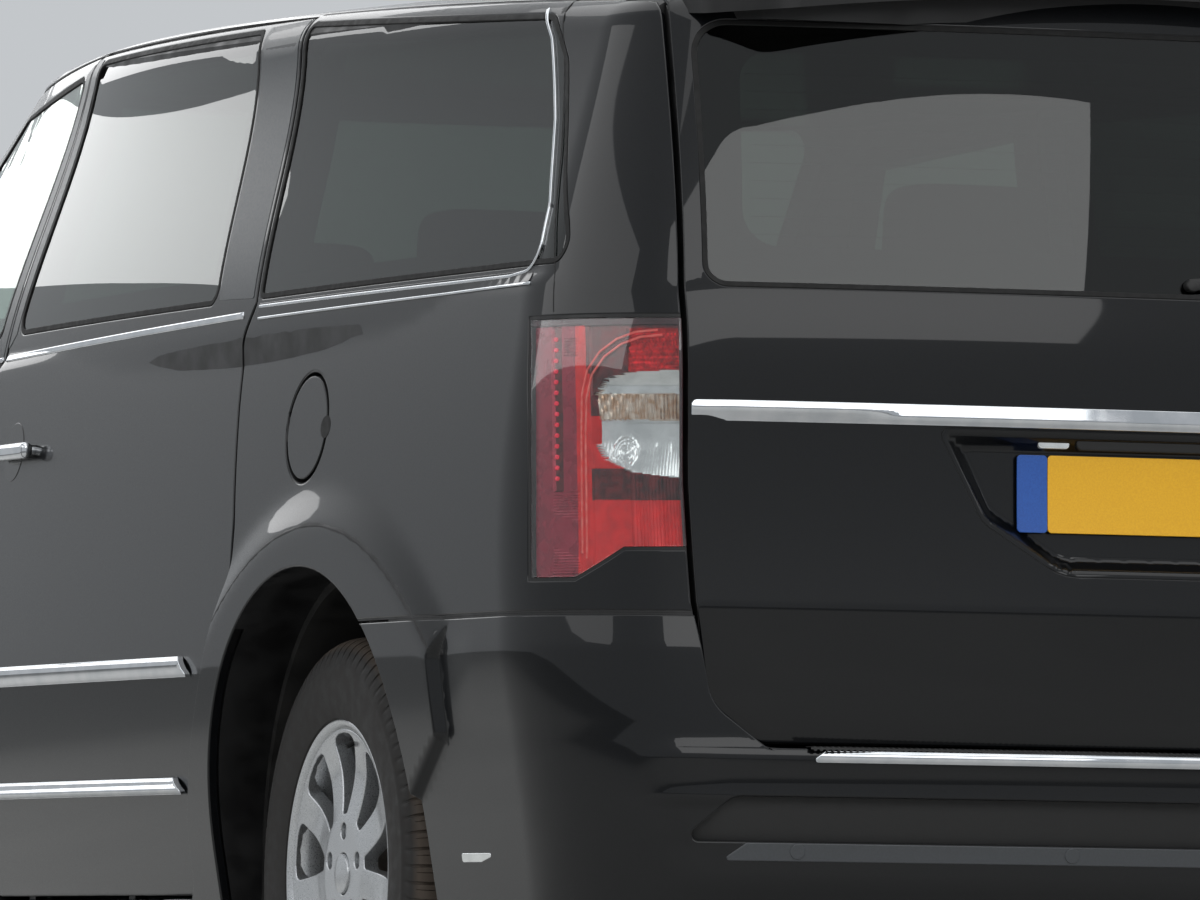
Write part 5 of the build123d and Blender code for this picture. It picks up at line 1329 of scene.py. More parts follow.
for end, axle_x in (("front", FRONT_AXLE_X), ("rear", REAR_AXLE_X)):
    for side, sign in SIDES:
        centre = np.array([axle_x, sign * WHEEL_Y, AXLE_Z])
        body = f"wheel_{end}_{side}"
        outward = np.array([1.0, sign, 1.0])

        def wheel_skin(a, b, out=0.0):
            """The rim's face: points over the wheel's plane, standing out by face_height."""
            return centre + np.stack([a, sign * (face_height(np.hypot(a, b)) + out), b], 1)

        tyre = add_mesh(f"tyre_{end}_{side}_tread", (centre + tyre_grid * outward).reshape(-1, 3),
                        grid_faces(*tyre_grid.shape[:2], True, True)[:, ::int(sign)], body, TYRE_RUBBER,
                        attributes={"worn": tyre_worn.ravel()}, sharp=42.0)
        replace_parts(tyre, f"tyre_{end}_{side}")
        face = panel(f"rim_{end}_{side}_spokes", wheel_skin, face_loops, body, ALLOY, out=0.0, step=9.0,
                     lip=2.2, flange=22.0, flip=sign < 0)
        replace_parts(face, f"rim_{end}_{side}")
        for profile, n, finish, part in ((RIM_PROFILE, 144, ALLOY, "barrel"),
                                         (DISC_PROFILE, 96, BRAKE_STEEL, "brake_disc"),
                                         (CAP_PROFILE, 48, ALLOY, "cap")):
            lathe = (centre + turned_profile(profile, n) * outward, True, part == "barrel")
            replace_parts(grid_piece(f"rim_{end}_{side}_{part}", [lathe], body, finish, flip=sign < 0),
                        f"rim_{end}_{side}")
        nut = turned_profile(NUT_PROFILE, 6)
        nuts = [(centre + (nut + (x, 0, z)) * outward, True, False) for x, z in studs]
        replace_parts(grid_piece(f"rim_{end}_{side}_nuts", nuts, body, NUT_STEEL, flip=sign < 0),
                    f"rim_{end}_{side}")
        stem = [centre + (r * math.cos(VALVE_ANGLE), sign * y, r * math.sin(VALVE_ANGLE))
                for r, y in VALVE_STEM]
        grid_piece(f"tyre_valve_{end}_{side}", [(tube(stem, 4.0, 10), False, True)], body, RUBBER, flip=True)


# Trim: seals, post films, bright strips, handles, plate and small lamps

def ribbon(path, width):
    """A closed loop of the given width along a path of plane points."""
    way = np.gradient(path, axis=0)
    way /= np.hypot(way[:, 0], way[:, 1])[:, None]
    aside = np.stack([-way[:, 1], way[:, 0]], 1) * width / 2
    return np.concatenate([path + aside, (path - aside)[::-1]])


def eased(points, radius=40.0):
    """Close points along a path of corners, its corners rounded."""
    return dense([(a, b, radius) for a, b in points], 9.0, closed=False)


def over_belt(x, rise):
    """Side-view points above the belt by rise."""
    return np.stack([x, belt_z(x) + rise], 1)


# Window seals lie over each pane's edge
for name, edge, skin, body in (("sliding", SLIDING_GLASS, body_skin, "body"),
                               ("quarter", QUARTER_GLASS, body_skin, "body"),
                               ("front", FRONT_GLASS, upper_skin, "front_door_SIDE")):
    rings = [dense(grown(edge, 2.4), 10), dense(grown(edge, -6.0), 10)]
    rings = [from_side(skin, r) if skin is upper_skin else side_chart(r) for r in rings]
    both_sides(f"{name}_window_seal", skin, rings, body, RUBBER, out=1.5, step=60.0, lip=1.2, flange=2.4)
gate_rings = [from_end(tailgate_skin, dense(grown(mirrored(TAILGATE_GLASS_EDGE), g), 12))
              for g in (2.4, -5.0)]
panel("rear_window_seal", tailgate_skin, gate_rings, "tailgate", RUBBER, out=0.9, step=60.0, lip=1.0,
      flange=2.0)

# Satin film on the door posts
FILM = {"out": 1.7, "lip": 0.5, "flange": 0.6}
rear_post = [(-1184, 1222, 4), (-1034, 1226, 4), (-1030, 1645, 4), (-1182, 1647, 4)]
middle_post = [(0, 1222, 3), (37, 1196, 3), (-64, 1662, 3), (-104, 1660, 3)]
door_post = [(60, 1182, 3), (88, 1220, 3), (-13, 1642, 3), (-50, 1660, 3)]
both_sides("rear_post_film", body_skin, [side_chart(dense(rear_post, 10))], "body", POST_FILM, step=24.0,
           **FILM)
both_sides("middle_post_film", body_skin, [side_chart(dense(middle_post, 9))], "body", POST_FILM, step=20.0,
           **FILM)
both_sides("door_post_film", upper_skin, [from_side(upper_skin, dense(door_post, 9))], "front_door_SIDE",
           POST_FILM, step=20.0, **FILM)

# Bright belt strips. Under the quarter glass two strips hold a gloss black cover for the sliding door's
# track, and the outer one turns up the rear edge of the glass
belt = over_belt(np.arange(-1150.0, 33.0, 12.0), 20.0)
rear_sweep = eased([(-1216, 1208), (-2150, 1208), (-2236, 1216), (-2222, 1310), (-2152, 1437), (-2066, 1560),
                    (-2016, 1606)])
lower_run = line((-1216, 1190), (-2236, 1194))
track = dense([(-1214, 1187, 2), (-1214, 1213, 2), (-2224, 1214, 8), (-2232, 1192, 8)], 12)
for name, loop, finish, out, step, lip, flange in (
        ("sliding_belt_strip", ribbon(belt, 11.0), CHROME, 3.4, 40.0, 2.4, 3.0),
        ("door_track_cover", track, GLOSS_BLACK, 2.2, 30.0, 1.0, 2.0),
        ("quarter_upper_strip", ribbon(rear_sweep, 5.0), CHROME, 3.6, 40.0, 1.6, 2.5),
        ("quarter_lower_strip", ribbon(lower_run, 4.0), CHROME, 3.4, 40.0, 1.4, 2.5)):
    both_sides(name, body_skin, [side_chart(loop)], "body", finish, out=out, step=step, lip=lip,
               flange=flange)

# Belt ledge of the front doors: a seal that closes the step between door and window frame, with rows at a
# height over the belt and off the skin, and the bright strip above it
LEDGE_ROWS = [(lower_skin, -5.0, -0.5), (lower_skin, -3.0, 1.6), (lower_skin, 1.0, 2.4),
              (lower_skin, 6.0, 0.6), (upper_skin, 9.0, 4.0), (upper_skin, 17.0, 2.6),
              (upper_skin, 19.0, -0.4)]
ledge_x = np.arange(58.0, 1074.0, 14.0)
for side, sign in SIDES:
    rows = []
    for skin, rise, off in LEDGE_ROWS:
        chart = from_side(skin, over_belt(ledge_x, rise))
        rows.append(skin(chart[:, 0] * sign, chart[:, 1], off))
    grid_piece(f"door_belt_seal_{side}", [(np.stack(rows), False, False)], f"front_door_{side}", RUBBER,
               flip=sign < 0)
    strip = [from_side(upper_skin, ribbon(over_belt(ledge_x, 20.0), 9.0)) * (sign, 1.0)]
    panel(f"front_belt_strip_{side}", upper_skin, strip, f"front_door_{side}", CHROME, out=3.4, step=40.0,
          lip=2.2, flange=3.0)

# Seam of the rear corner panel, from the roof to the lamp
seam_path = eased([(-2058, 1622), (-2136, 1500), (-2201, 1390), (-2286, 1215), (-2310, 1150)], radius=200)
both_sides("corner_panel_seam", body_skin, [side_chart(ribbon(seam_path, 2.6))], "body", RUBBER, out=1.15,
           step=40.0, lip=0.3, flange=0.4)

# Finger notch behind the fuel flap
notch_loop = circle(0, 0, 1.0, 28) * (19, 17) + (FLAP_X - FLAP_RADIUS + 4, FLAP_Z - 2)
panel("fuel_flap_notch", flared_skin, [side_chart(notch_loop)], "body", RUBBER, out=1.5, step=12.0, lip=0.5,
      flange=0.6)

# Door handles: a bright bar over a round black dish
for name, skin, x0, x1, y, dish_x, body in (
        ("sliding", body_skin, -232.0, -62.0, 979.0, -112.0, "body"),
        ("front", lower_skin, 110.0, 280.0, 980.0, 160.0, "front_door_SIDE")):
    dish = circle(dish_x, 1028, 47.0, 60)
    dish = side_chart(dish) if skin is body_skin else from_side(skin, dish)
    both_sides(f"{name}_handle_dish", skin, [dish], body, GLOSS_BLACK, out=1.9, step=14.0, lip=0.9,
               flange=1.2)
    for side, sign in SIDES:
        bar = rounded_box(x0 - 4, x1 + 4, y + 15.4, y + 35.2, 1013.0, 1039.4, 9.2, 7)
        feet = [rounded_box(a, a + 25, y - 6, y + 28, 1017, 1035, 6, 4) for a in (x0 + 5, x1 - 30)]
        grid_piece(f"{name}_handle_{side}", [(g * (1, sign, 1), False, True) for g in (bar, *feet)],
                   body.replace("SIDE", side), CHROME, flip=sign > 0)

# Mouldings along the doors, round faced
for name, low, high, x0, x1, top0, top1, body, node_name in (
        ("sliding_upper", 653, 685, -1020, 36, -980, 36, "body", "side_mouldings"),
        ("sliding_lower", 476, 502, -962, 36, -922, 36, "body", "side_mouldings"),
        ("front_upper", 653, 685, 56, 1080, 56, 1116, "front_door_SIDE", "front_mouldings_SIDE"),
        ("front_lower", 476, 502, 56, 1080, 56, 1116, "front_door_SIDE", "front_mouldings_SIDE")):
    middle, half = (low + high) / 2, (high - low) / 2

    def crowned(p):
        """Height of the moulding's round face over the door."""
        t = np.clip((p[:, 1] - middle) / half, -1, 1)
        return 6.0 + 8.6 * np.sqrt(1 - t * t * 0.92) - 1.6 * smooth(1 - np.abs(t) * 6)

    outline = from_side(lower_skin, dense([(x0, low, 4), (x1, low, 4), (top1, high, 4), (top0, high, 4)], 10))
    pieces = both_sides(f"{name}_moulding", lower_skin, [outline], body, CHROME, out=crowned, step=7.0,
                        lip=1.4, flange=8.0)
    for piece, (side, _) in zip(pieces, SIDES):
        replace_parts(piece, node_name.replace("SIDE", side))


# Chrome bar over the plate, with a crease that runs down to its middle

def bar_height(p):
    """Two facets that meet in a crease: it lies at mid height at the ends and drops towards the centre."""
    crease = np.interp(np.abs(p[:, 0]), [0, 250, 560, 760], [1001, 1002, 1009, 1010])
    rise = p[:, 1] - crease
    return 13.4 - np.where(rise > 0, 0.16 * rise, -0.75 * rise) - 6 * smooth((np.abs(p[:, 0]) - 700) / 60)


def end_box(y0, y1, z0, z1, radius, step=10):
    """Tail chart points of an upright rectangle with round corners, seen from behind."""
    return from_end(tailgate_skin,
                    dense([(y0, z0, radius), (y1, z0, radius), (y1, z1, radius), (y0, z1, radius)],
                                         step))


bar = panel("gate_bar", tailgate_skin, [end_box(-741, 741, 993.5, 1023.5, 8)], "tailgate", CHROME,
            out=bar_height, step=8.0, lip=1.6, flange=9.0)
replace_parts(bar, "tailgate_bar")

# Number plate: yellow sheet with a plain blue band at its left end, its lamps and the handle above it
for name, y0, y1, finish in (("plate_sheet", -259.5, 213.0, PLATE_YELLOW),
                             ("plate_band", 213.6, 259.5, PLATE_BLUE)):
    sheet = panel(name, tailgate_skin, [end_box(y0, y1, 846.5, 956.5, 6, 12)], "tailgate", finish, out=-15.6,
                  step=26.0, lip=0.8, flange=2.0, back=4.0)
    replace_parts(sheet, "number_plate")
panel("gate_handle", tailgate_skin, [end_box(-172, 172, 964, 988, 9)], "tailgate", BLACK_PLASTIC, out=-8.0,
      step=20.0, lip=3.0, flange=16.0)
for side, y in (("right", -205.0), ("left", 205.0)):
    panel(f"plate_lamp_{side}", tailgate_skin, [end_box(y - 24, y + 24, 966, 986, 6, 6)], "tailgate",
          LAMP_SILVER, out=-12.0, step=9.0, lip=2.0, flange=12.0)

# High brake lamp in the spoiler's trailing edge, marker wedges in the bumper's corners
BRAKE_ROWS = [(-2440.0, -3.0), (-2444.6, -4.0), (-2445.4, -9.0), (-2444.6, -14.0), (-2440.0, -15.0)]
brake = np.stack([roof_skin_flat(np.full(40, x), np.linspace(-170, 170, 40), rise) for x, rise in BRAKE_ROWS])
grid_piece("high_brake_lamp", [(brake, False, False)], "tailgate", DARK_RED)
marker = dense([(-2036, 380.5, 2), (-2172, 380.5, 2), (-2104, 367.5, 6), (-2036, 367.5, 2)], 6)
both_sides("bumper_marker", bumper_skin, [side_chart(marker)], "body", LAMP_SILVER, out=2.2, step=8.0,
           lip=1.0, flange=1.6)


def step_height(p):
    """Height of the step's bright edge over the tail: half an ellipse, 8 mm high, on 6 mm."""
    return 6.0 + 8.0 * np.sqrt(np.clip(1 - ((p[:, 1] - 519) / 9.6) ** 2, 0.02, 1))


step_outline = dense([(-583, 510.5, 3), (583, 510.5, 3), (560, 527.5, 3), (-560, 527.5, 3)], 10)
strip = panel("step_edge", lower_skin, [from_end(lower_skin, step_outline)], "body", CHROME, out=step_height,
              step=6.0, lip=1.2, flange=8.0)
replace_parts(strip, "step_strip")

# Door mirrors: a rounded housing with its glass facing back. Each ring of the housing is a superellipse at
# a distance y, of a share of the full size
MIRROR_RINGS = [(994, 0.0), (994, 0.80), (1004, 0.92), (1030, 0.985), (1064, 1.0), (1098, 0.985),
                (1120, 0.93), (1131, 0.83), (1136, 0.62), (1137.2, 0.3), (1137.4, 0.0)]
t = np.linspace(0, 2 * math.pi, 48, endpoint=False)
cos, sin = np.cos(t), np.sin(t)
rings = []
for y, grow in MIRROR_RINGS:
    ahead = grow * (np.sign(cos) * np.abs(cos) ** 0.62) * np.where(cos > 0, 55, 50)
    rise = grow * (np.sign(sin) * np.abs(sin) ** 0.66) * 69 - 0.10 * ahead
    rings.append(np.stack([1021 - 0.02 * (y - 1064) + ahead, np.full(len(t), y),
                           1239 + 0.03 * (y - 1064) + rise], 1))
housing, arm = np.stack(rings), rounded_box(1000, 1056, 905, 1004, 1170, 1200, 12, 5)
across, up = np.meshgrid(np.linspace(-1, 1, 20), np.linspace(-1, 1, 14), indexing="ij")
across, up = across * np.sqrt(1 - 0.32 * up ** 2), up * np.sqrt(1 - 0.32 * across ** 2)
mirror_plane = np.stack([970.2 + 1.2 * across ** 2, 1066 + 58 * across, 1243 + 56 * up], 2)
for side, sign in SIDES:
    body = f"front_door_{side}"
    shell = grid_piece(f"mirror_housing_{side}", [(housing * (1, sign, 1), False, True)], body, PAINT,
                       flip=sign < 0)
    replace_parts(shell, f"door_mirror_{side}")
    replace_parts(grid_piece(f"mirror_arm_{side}", [(arm * (1, sign, 1), False, True)], body, BLACK_PLASTIC,
                           flip=sign > 0), f"door_mirror_{side}")
    grid_piece(f"mirror_glass_{side}", [(mirror_plane * (1, sign, 1), False, False)], body, MIRROR_GLASS,
               flip=sign > 0)


# Rear wiper at rest along the foot of the glass, to the right of its spindle

def over_glass(y, z, out):
    """Points off the tailgate glass's face at end-view places, in mm."""
    chart = from_end(upper_skin, np.stack([y, z], 1))
    return upper_skin(chart[:, 0], chart[:, 1], out)


def wiper_rod(y, z, wide, out, thick, n):
    """A rod of n sides along the glass: at each place (y, z), wide across it and thick off it round out."""
    return np.stack([over_glass(y, z + wide * math.cos(t), out + thick * math.sin(t))
                     for t in 2 * math.pi * np.arange(n) / n])


share = np.linspace(0, 1, 40)
arm_rows = wiper_rod(np.linspace(-6, -424, 40), 1207 + 33 * share, 9.0 - 4.2 * share, 11.0, 3.4 - share, 10)
blade_rows = wiper_rod(np.linspace(-70, -426, 30), 1209 + 29 * np.linspace(0.05, 1, 30), 4.0, 4.4, 3.0, 8)
turn = np.linspace(0, 2 * math.pi, 28, endpoint=False)
cap_rows = np.stack([over_glass(-12 + r * np.cos(turn), 1206 + 0.8 * r * np.sin(turn), np.full(28, o))
                     for r, o in ((0.01, 15.4), (5, 15.2), (9, 13.8), (11, 11.0), (11.6, 7.0), (11.6, 1.0))])
for part, grid, finish in (("arm", (arm_rows, True, False), BLACK_PLASTIC),
                           ("blade", (blade_rows, True, False), RUBBER),
                           ("spindle_cap", (cap_rows, False, True), BLACK_PLASTIC)):
    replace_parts(grid_piece(f"wiper_{part}", [grid], "tailgate", finish), "rear_wiper")


# Cabin: cushions, bases and head restraints over the seat frames

# Woven seat cloth: warm dark grey with a fine weave
SEAT_CLOTH = material("woven_seat_cloth", {"Specular IOR Level": 0.3, "Sheen Weight": 0.3}, 5,
                      ("2B2B2D", "3B3A3B"), (0.75, 0.9), (1.6, 0.15))


def pad(across, along, thick, crown, round_by, seams):
    """A crowned cushion lying flat round the origin, as closed rings from its top's middle to its
    underside's: (along, across, height). Both faces swell by crown in the middle, by one minus the fourth
    power of the way to each edge; the top dips 8 mm at each seam, a line at a share of its half width, and a
    groove of 3 mm runs round inside the edge."""
    turn = np.linspace(0, 2 * math.pi, 72, endpoint=False)
    edge = np.stack([np.sign(t) * np.abs(t) ** 0.36 for t in (np.cos(turn), np.sin(turn))], 1)
    rows = []
    for side in (1.0, -1.0):
        shares = [(s, 0.0, 0.0) for s in (0, 0.12, 0.26, 0.4, 0.54, 0.66, 0.76, 0.85, 0.93, 0.98)]
        shares += [(1.0, math.sin(t), 1 - math.cos(t)) for t in np.linspace(0, math.pi / 2, 6)[:-1]]
        face = []
        for share, out, drop in shares:
            p = edge * (along / 2 - round_by + round_by * out, across / 2 - round_by + round_by * out) * share
            ahead, aside = (p / (along / 2, across / 2)).T
            swell = np.maximum(1 - ahead ** 4, 0) * np.maximum(1 - aside ** 4, 0)
            dip = sum(8 * np.exp(-((p[:, 1] - c * across / 2) / 9) ** 2) for c in seams) if side > 0 else 0.0
            piping = 3.0 * math.exp(-((share + out - 1.25) / 0.12) ** 2)
            high = thick / 2 - crown + crown * swell - round_by * drop - dip * min(1.0, 2 - 2 * out) - piping
            face.append(np.stack([p[:, 0], p[:, 1], side * high], 1))
        rows += face if side > 0 else face[::-1]
    return np.stack(rows)


# Each seat: the name of its pads and of its base, the cushion's front edge and middle, width, seams, node
SEATS = [("driver_seat", "driver", 760, -400, 520, (-0.62, 0.62), "front_seats"),
         ("passenger_seat", "passenger", 760, 400, 520, (-0.62, 0.62), "front_seats"),
         ("second_row_left", "second_left", -180, 400, 500, (-0.6, 0.6), "rear_seats"),
         ("second_row_right", "second_right", -180, -400, 500, (-0.6, 0.6), "rear_seats"),
         ("third_row", "third", -1120, 0, 1180, (-0.62, -0.04, 0.04, 0.62), "rear_seats")]

# Cushion, leaning back and head restraint of each seat
for name, _, x, y, width, seams, node_name in SEATS:
    flat = pad(width, 500, 138, 16, 34, seams) + (x - 250, y, 570)
    flat[..., 2] += 14 * smooth((flat[..., 0] - x + 190) / 190)
    flat[..., 2] = np.minimum(flat[..., 2], 640)
    upright = pad(width, 590, 112, 13, 34, seams)
    back = np.stack([upright[..., 2] + x - 497 - 0.2 * upright[..., 0], upright[..., 1] + y,
                     upright[..., 0] + 902], 2)
    head = pad(258, 184, 88, 8, 30, ())
    head = np.stack([head[..., 2] + x - 560 - 0.06 * head[..., 0], head[..., 1] + y, head[..., 0] + 1307], 2)
    for part, grid in (("cushion", flat), ("backrest", back), ("head_restraint", head)):
        made = grid_piece(f"{name}_{part}", [(grid, False, True)], "body", SEAT_CLOTH, flip=True, sharp=75.0)
        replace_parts(made, node_name)

# Seat bases and posts of the head restraints
for _, name, x, y, width, _, node_name in SEATS:
    base = rounded_box(x - 430, x - 60, y - width * 0.4, y + width * 0.4, 330, 506, 8, 4)
    posts = [tube([(x - 562, y + d, 1170), (x - 562, y + d, 1236)], 7.0, 12) for d in (-55, 55)]
    made = grid_piece(f"{name}_seat_base", [(g, False, True) for g in (base, *posts)], "body", CABIN_PLASTIC,
                      flip=True)
    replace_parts(made, node_name)


# Front: fenders over the shoulder, hood, nose with grille and headlamps, and the bumper

HOOD_ROUND = 40.0
# The nose's chart runs on past the centre line, where s is FAR less the s of the other side
FAR = 2 * LOWER.length
ROUND_R, ROUND_Z, ROUND_FROM, ROUND_TURN = edge_round(LOWER, hood_z, HOOD_ROUND, 900.0)


def shoulder(s):
    """The hood round at chart s: centre (reach, z), start height, angle at its start and end."""
    a = np.abs(s)
    r, centre, start, turn = (np.interp(a, LOWER.s, t) for t in (ROUND_R, ROUND_Z, ROUND_FROM, ROUND_TURN))
    return r, centre, start, np.arcsin(np.clip((start - centre) / HOOD_ROUND, -1, 1)), turn


def front_skin(s, t, out=0.0):
    """The nose and fenders as one chart. t is the height up the side, then the way over the round, then
    the way inward along the hood's surface. s runs on past the centre line to the other side."""
    across = s > LOWER.length
    a = np.where(across, FAR - s, np.abs(s))
    r, centre, start, low, turn = shoulder(a)
    angle = low + np.clip((t - start) / HOOD_ROUND, 0, turn - low)
    past = np.maximum(t - start - HOOD_ROUND * (turn - low), 0)
    side = LOWER.reach(a, np.minimum(t, start))
    reach = np.where(t < start, side + out, r + (HOOD_ROUND + out) * np.cos(angle) - past)
    p = LOWER.place(a, t, reach)
    high = np.where(t < start, t, np.where(past > 0, hood_z(p[:, 0], p[:, 1]) + out,
                                           centre + (HOOD_ROUND + out) * np.sin(angle)))
    mirror = np.where(across | (s < 0), -1.0, 1.0)
    return np.stack([p[:, 0], p[:, 1] * mirror, high], 1)


def over_shoulder(points):
    """Chart points of plan points on the hood's surface, left half."""
    s, reach = LOWER.spine_coordinates(points)
    r, _, start, low, turn = shoulder(s)
    return np.stack([s, start + HOOD_ROUND * (turn - low) + r + HOOD_ROUND * np.cos(turn) - reach], 1)


def at_x(x, t):
    """Chart points of the front where the surface crosses an upright plane x, at chart heights t."""
    s = s_where(front_skin, 0, np.full(len(t), float(x)), t, LOWER.s2 + 200, LOWER.length - 4)
    return np.stack([s, t], 1)


# Hood, its rear edge round the foot of the windscreen
HOOD_PLAN = [(872, 1100, 0), (872, 1150, 0), (850, 2080, 160), (610, 2445, 120), (0, 2445, 0), (0, 1100, 0)]
glass_s = np.arange(UPPER.s3 - 60, UPPER.length, 10.0)
glass_foot = upper_skin(glass_s, np.full(len(glass_s), 1132.0), 26.0)[::-1, :2]
rear_y = np.arange(0, 880, 12.0)
rear_edge = np.stack([np.maximum(np.interp(rear_y, glass_foot[:, 1], glass_foot[:, 0]), 1350.0), rear_y], 1)
rim = dense(grown(HOOD_PLAN, -0.01), 12)[:, ::-1]
rim = rim[(rim[:, 1] > 1.0) & (rim[:, 0] > 1352)]
rim = rim[np.argsort(np.arctan2(rim[:, 1], rim[:, 0] - 1200))]
rear_edge = rear_edge[rear_edge[:, 1] < rim[-1, 1] - 4]
hood_left = np.concatenate([rim, rear_edge[::-1][:-1]])
hood_loop = joined(hood_left, [(rear_edge[0, 0], 0.0)], hood_left[::-1] * (1, -1), [(2444.9, 0.0)])
panel("hood_skin", hood_skin, [hood_loop], "hood", PAINT, step=30.0, flip=True, flange=9.0)

# Fenders
SEAM_FOOT, DOOR_SEAM_X, LAMP_SEAM_X, NOSE_SEAM_X = 649, 1131.0, 2206, 2214


def seam_under(x, top):
    """Chart points of the upright seam at x, from SEAM_FOOT to 3 mm under the run top."""
    seam = at_x(x, np.arange(SEAM_FOOT, 1100, 8.0))
    return seam[seam[:, 1] < np.interp(seam[:, 0], top[:, 0], top[:, 1]) - 3]


def to_side(points, sign):
    """Chart points of the nose's left half, or for sign -1 their mirror image past the centre line."""
    return points if sign > 0 else points * (-1, 1) + (FAR, 0)


def whole(half):
    """A left run of chart points and its mirror image."""
    return joined(half, to_side(half[::-1], -1))


def nose_hole(edge, centre_z):
    """Chart loop of an opening across the nose, from the left half of its end-view outline."""
    half = from_front(lower_skin, part_of(dense(edge, 9), lambda p: p[:, 0] > 1))
    return whole(half[np.argsort(np.arctan2(half[:, 1] - centre_z, half[:, 0] - LOWER.length))])


fender_top = over_shoulder(dense([(1100, 879, 0), (1150, 878, 0), (2080, 856, 160), (2300, 711, 0)], 12,
                                 closed=False))
lamp_seam = seam_under(LAMP_SEAM_X, fender_top)
door_seam_s = from_side(lower_skin, np.array([(DOOR_SEAM_X, 1000.0)]))[0, 0]
fender_top = fender_top[(fender_top[:, 0] < lamp_seam[-1, 0] - 5) & (fender_top[:, 0] > door_seam_s + 3)]
arch_front, arch_rear = FRONT_AXLE_X + ARCH_RADIUS, FRONT_AXLE_X - ARCH_RADIUS
low_front = line((LAMP_SEAM_X, SEAM_FOOT), (2036, SEAM_FOOT), (2036, SILL_FOOT), (arch_front, SILL_FOOT),
                 (arch_front, ARCH_Z))
low_rear = line((arch_rear, ARCH_Z), (arch_rear, SILL_FOOT), (DOOR_SEAM_X, SILL_FOOT), (DOOR_SEAM_X, 1080))
fender = joined(lamp_seam[::-1], from_side(lower_skin, joined(low_front)[1:]),
                from_side(lower_skin, arc(FRONT_AXLE_X, ARCH_Z, ARCH_RADIUS, 0, 180, 110)),
                from_side(lower_skin, low_rear), fender_top)
both_sides("fender_skin", front_skin, [fender], "body", PAINT, step=17.0)

# Nose over the bumper: painted round the grille and the headlamps
GRILLE, GRILLE_Z = [(455, 690, 34), (455, 868, 34), (0, 884, 0), (0, 684, 0)], 780
HEADLAMP = [(520, 706, 30), (838, 722, 60), (898, 800, 50), (872, 858, 40), (520, 868, 30)]
nose_top = over_shoulder(dense([(2200, 779, 0), (2300, 716, 0), (2452, 610, 116), (2452, 0, 0)], 12,
                               closed=False))
nose_seam = seam_under(NOSE_SEAM_X, nose_top)
nose_top = nose_top[nose_top[:, 0] > nose_seam[-1, 0] + 5]
nose = whole(joined(line((LOWER.length - 1, SEAM_FOOT), tuple(nose_seam[0]), step=14), nose_seam,
                    nose_top[:-1]))
lamp_hole = from_front(lower_skin, dense(HEADLAMP, 8))
grille_loop = nose_hole(GRILLE, GRILLE_Z)
panel("nose_skin", front_skin, [nose, grille_loop, *[to_side(lamp_hole, sign) for _, sign in SIDES]], "body",
      PAINT, step=17.0, flange=16.0)

# Grille: a bright frame, and a mesh of bright bars before a black shell
middle = (LOWER.length, GRILLE_Z)
surround = [grille_loop, middle + (grille_loop - middle) * (0.955, 0.82)]
panel("grille_frame", front_skin, surround, "body", CHROME, out=2.4, step=50.0, lip=3.0, flange=12.0)
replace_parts(panel("grille_shell", front_skin, [grille_loop], "body", BLACK_PLASTIC, out=-22.0, step=40.0,
                  lip=1.0, flange=2.0), "grille")


def bar_ring(s, z, size, upright):
    """A rounded bar, 7 mm behind the nose: eight points round each place along it, on an ellipse of size
    across the bar and 4 mm out."""
    rows = []
    for k in range(8):
        t = math.radians(45 * k + 22)
        aside, out = size * math.cos(t) * (-1 if upright else 1), -7.0 + 4.0 * math.sin(t)
        rows.append(front_skin(s + (aside if upright else 0), z + (0 if upright else aside), out))
    return np.stack(rows)


span_s = np.linspace(LOWER.length - 447, LOWER.length + 447, 60)
bars = [bar_ring(span_s, np.full(60, z), 3.4, False) for z in np.arange(706, 868, 22.6)]
bars += [bar_ring(np.full(9, s), np.linspace(704, 858, 9), 2.2, True)
         for s in np.arange(LOWER.length - 414, LOWER.length + 415, 36.0)]
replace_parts(grid_piece("grille_mesh", [(bar, True, False) for bar in bars], "body", CHROME), "grille")

# Headlamps: clear lens, bowl with two reflectors, turn lamp at the corner
low_beam, high_beam = (from_front(lower_skin, np.array([(y, 790.0)]))[0] for y in (700.0, 588.0))


def bowl(p):
    """Depth of the lamp's bowl: two round reflectors, 34 mm deep by the square of the way out, with a bulb
    cap in each, and ribs every 9 mm beyond them."""
    depth = np.full(len(p), -26.0)
    for centre, radius in ((low_beam, 62.0), (high_beam, 50.0)):
        d = np.hypot(p[:, 0] - centre[0], p[:, 1] - centre[1])
        depth = np.where(d < radius, -58 + 34 * (d / radius) ** 2, depth)
        depth = np.where(d < 13, -34 - 6 * (d / 13) ** 2, depth)
    ribs = -22 + 1.6 * np.sin(p[:, 0] * 2 * math.pi / 9)
    return np.where(p[:, 0] < low_beam[0] - 76, ribs, depth)


lens_loop = from_front(lower_skin, dense(grown(HEADLAMP, -2.0), 8))
turn_loop = from_front(lower_skin, dense([(800, 742, 16), (862, 772, 20), (868, 820, 20), (818, 838, 16)], 6))
for side, sign in SIDES:
    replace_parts(panel(f"headlamp_bowl_{side}", front_skin, [to_side(lens_loop, sign)], "body", LAMP_SILVER,
                      out=lambda p: bowl(to_side(p, sign)), step=6.0, lip=0.6, flange=1.0), "headlamps")
    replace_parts(panel(f"headlamp_lens_{side}", front_skin, [to_side(lens_loop, sign)], "body", CLEAR_LENS,
                      out=0.2, step=22.0, lip=1.6, flange=3.0, back=3.0), "headlamps")
    panel(f"front_turn_lamp_{side}", front_skin, [to_side(turn_loop, sign)], "body", AMBER, out=-14.0,
          step=9.0, lip=2.0, flange=5.0)

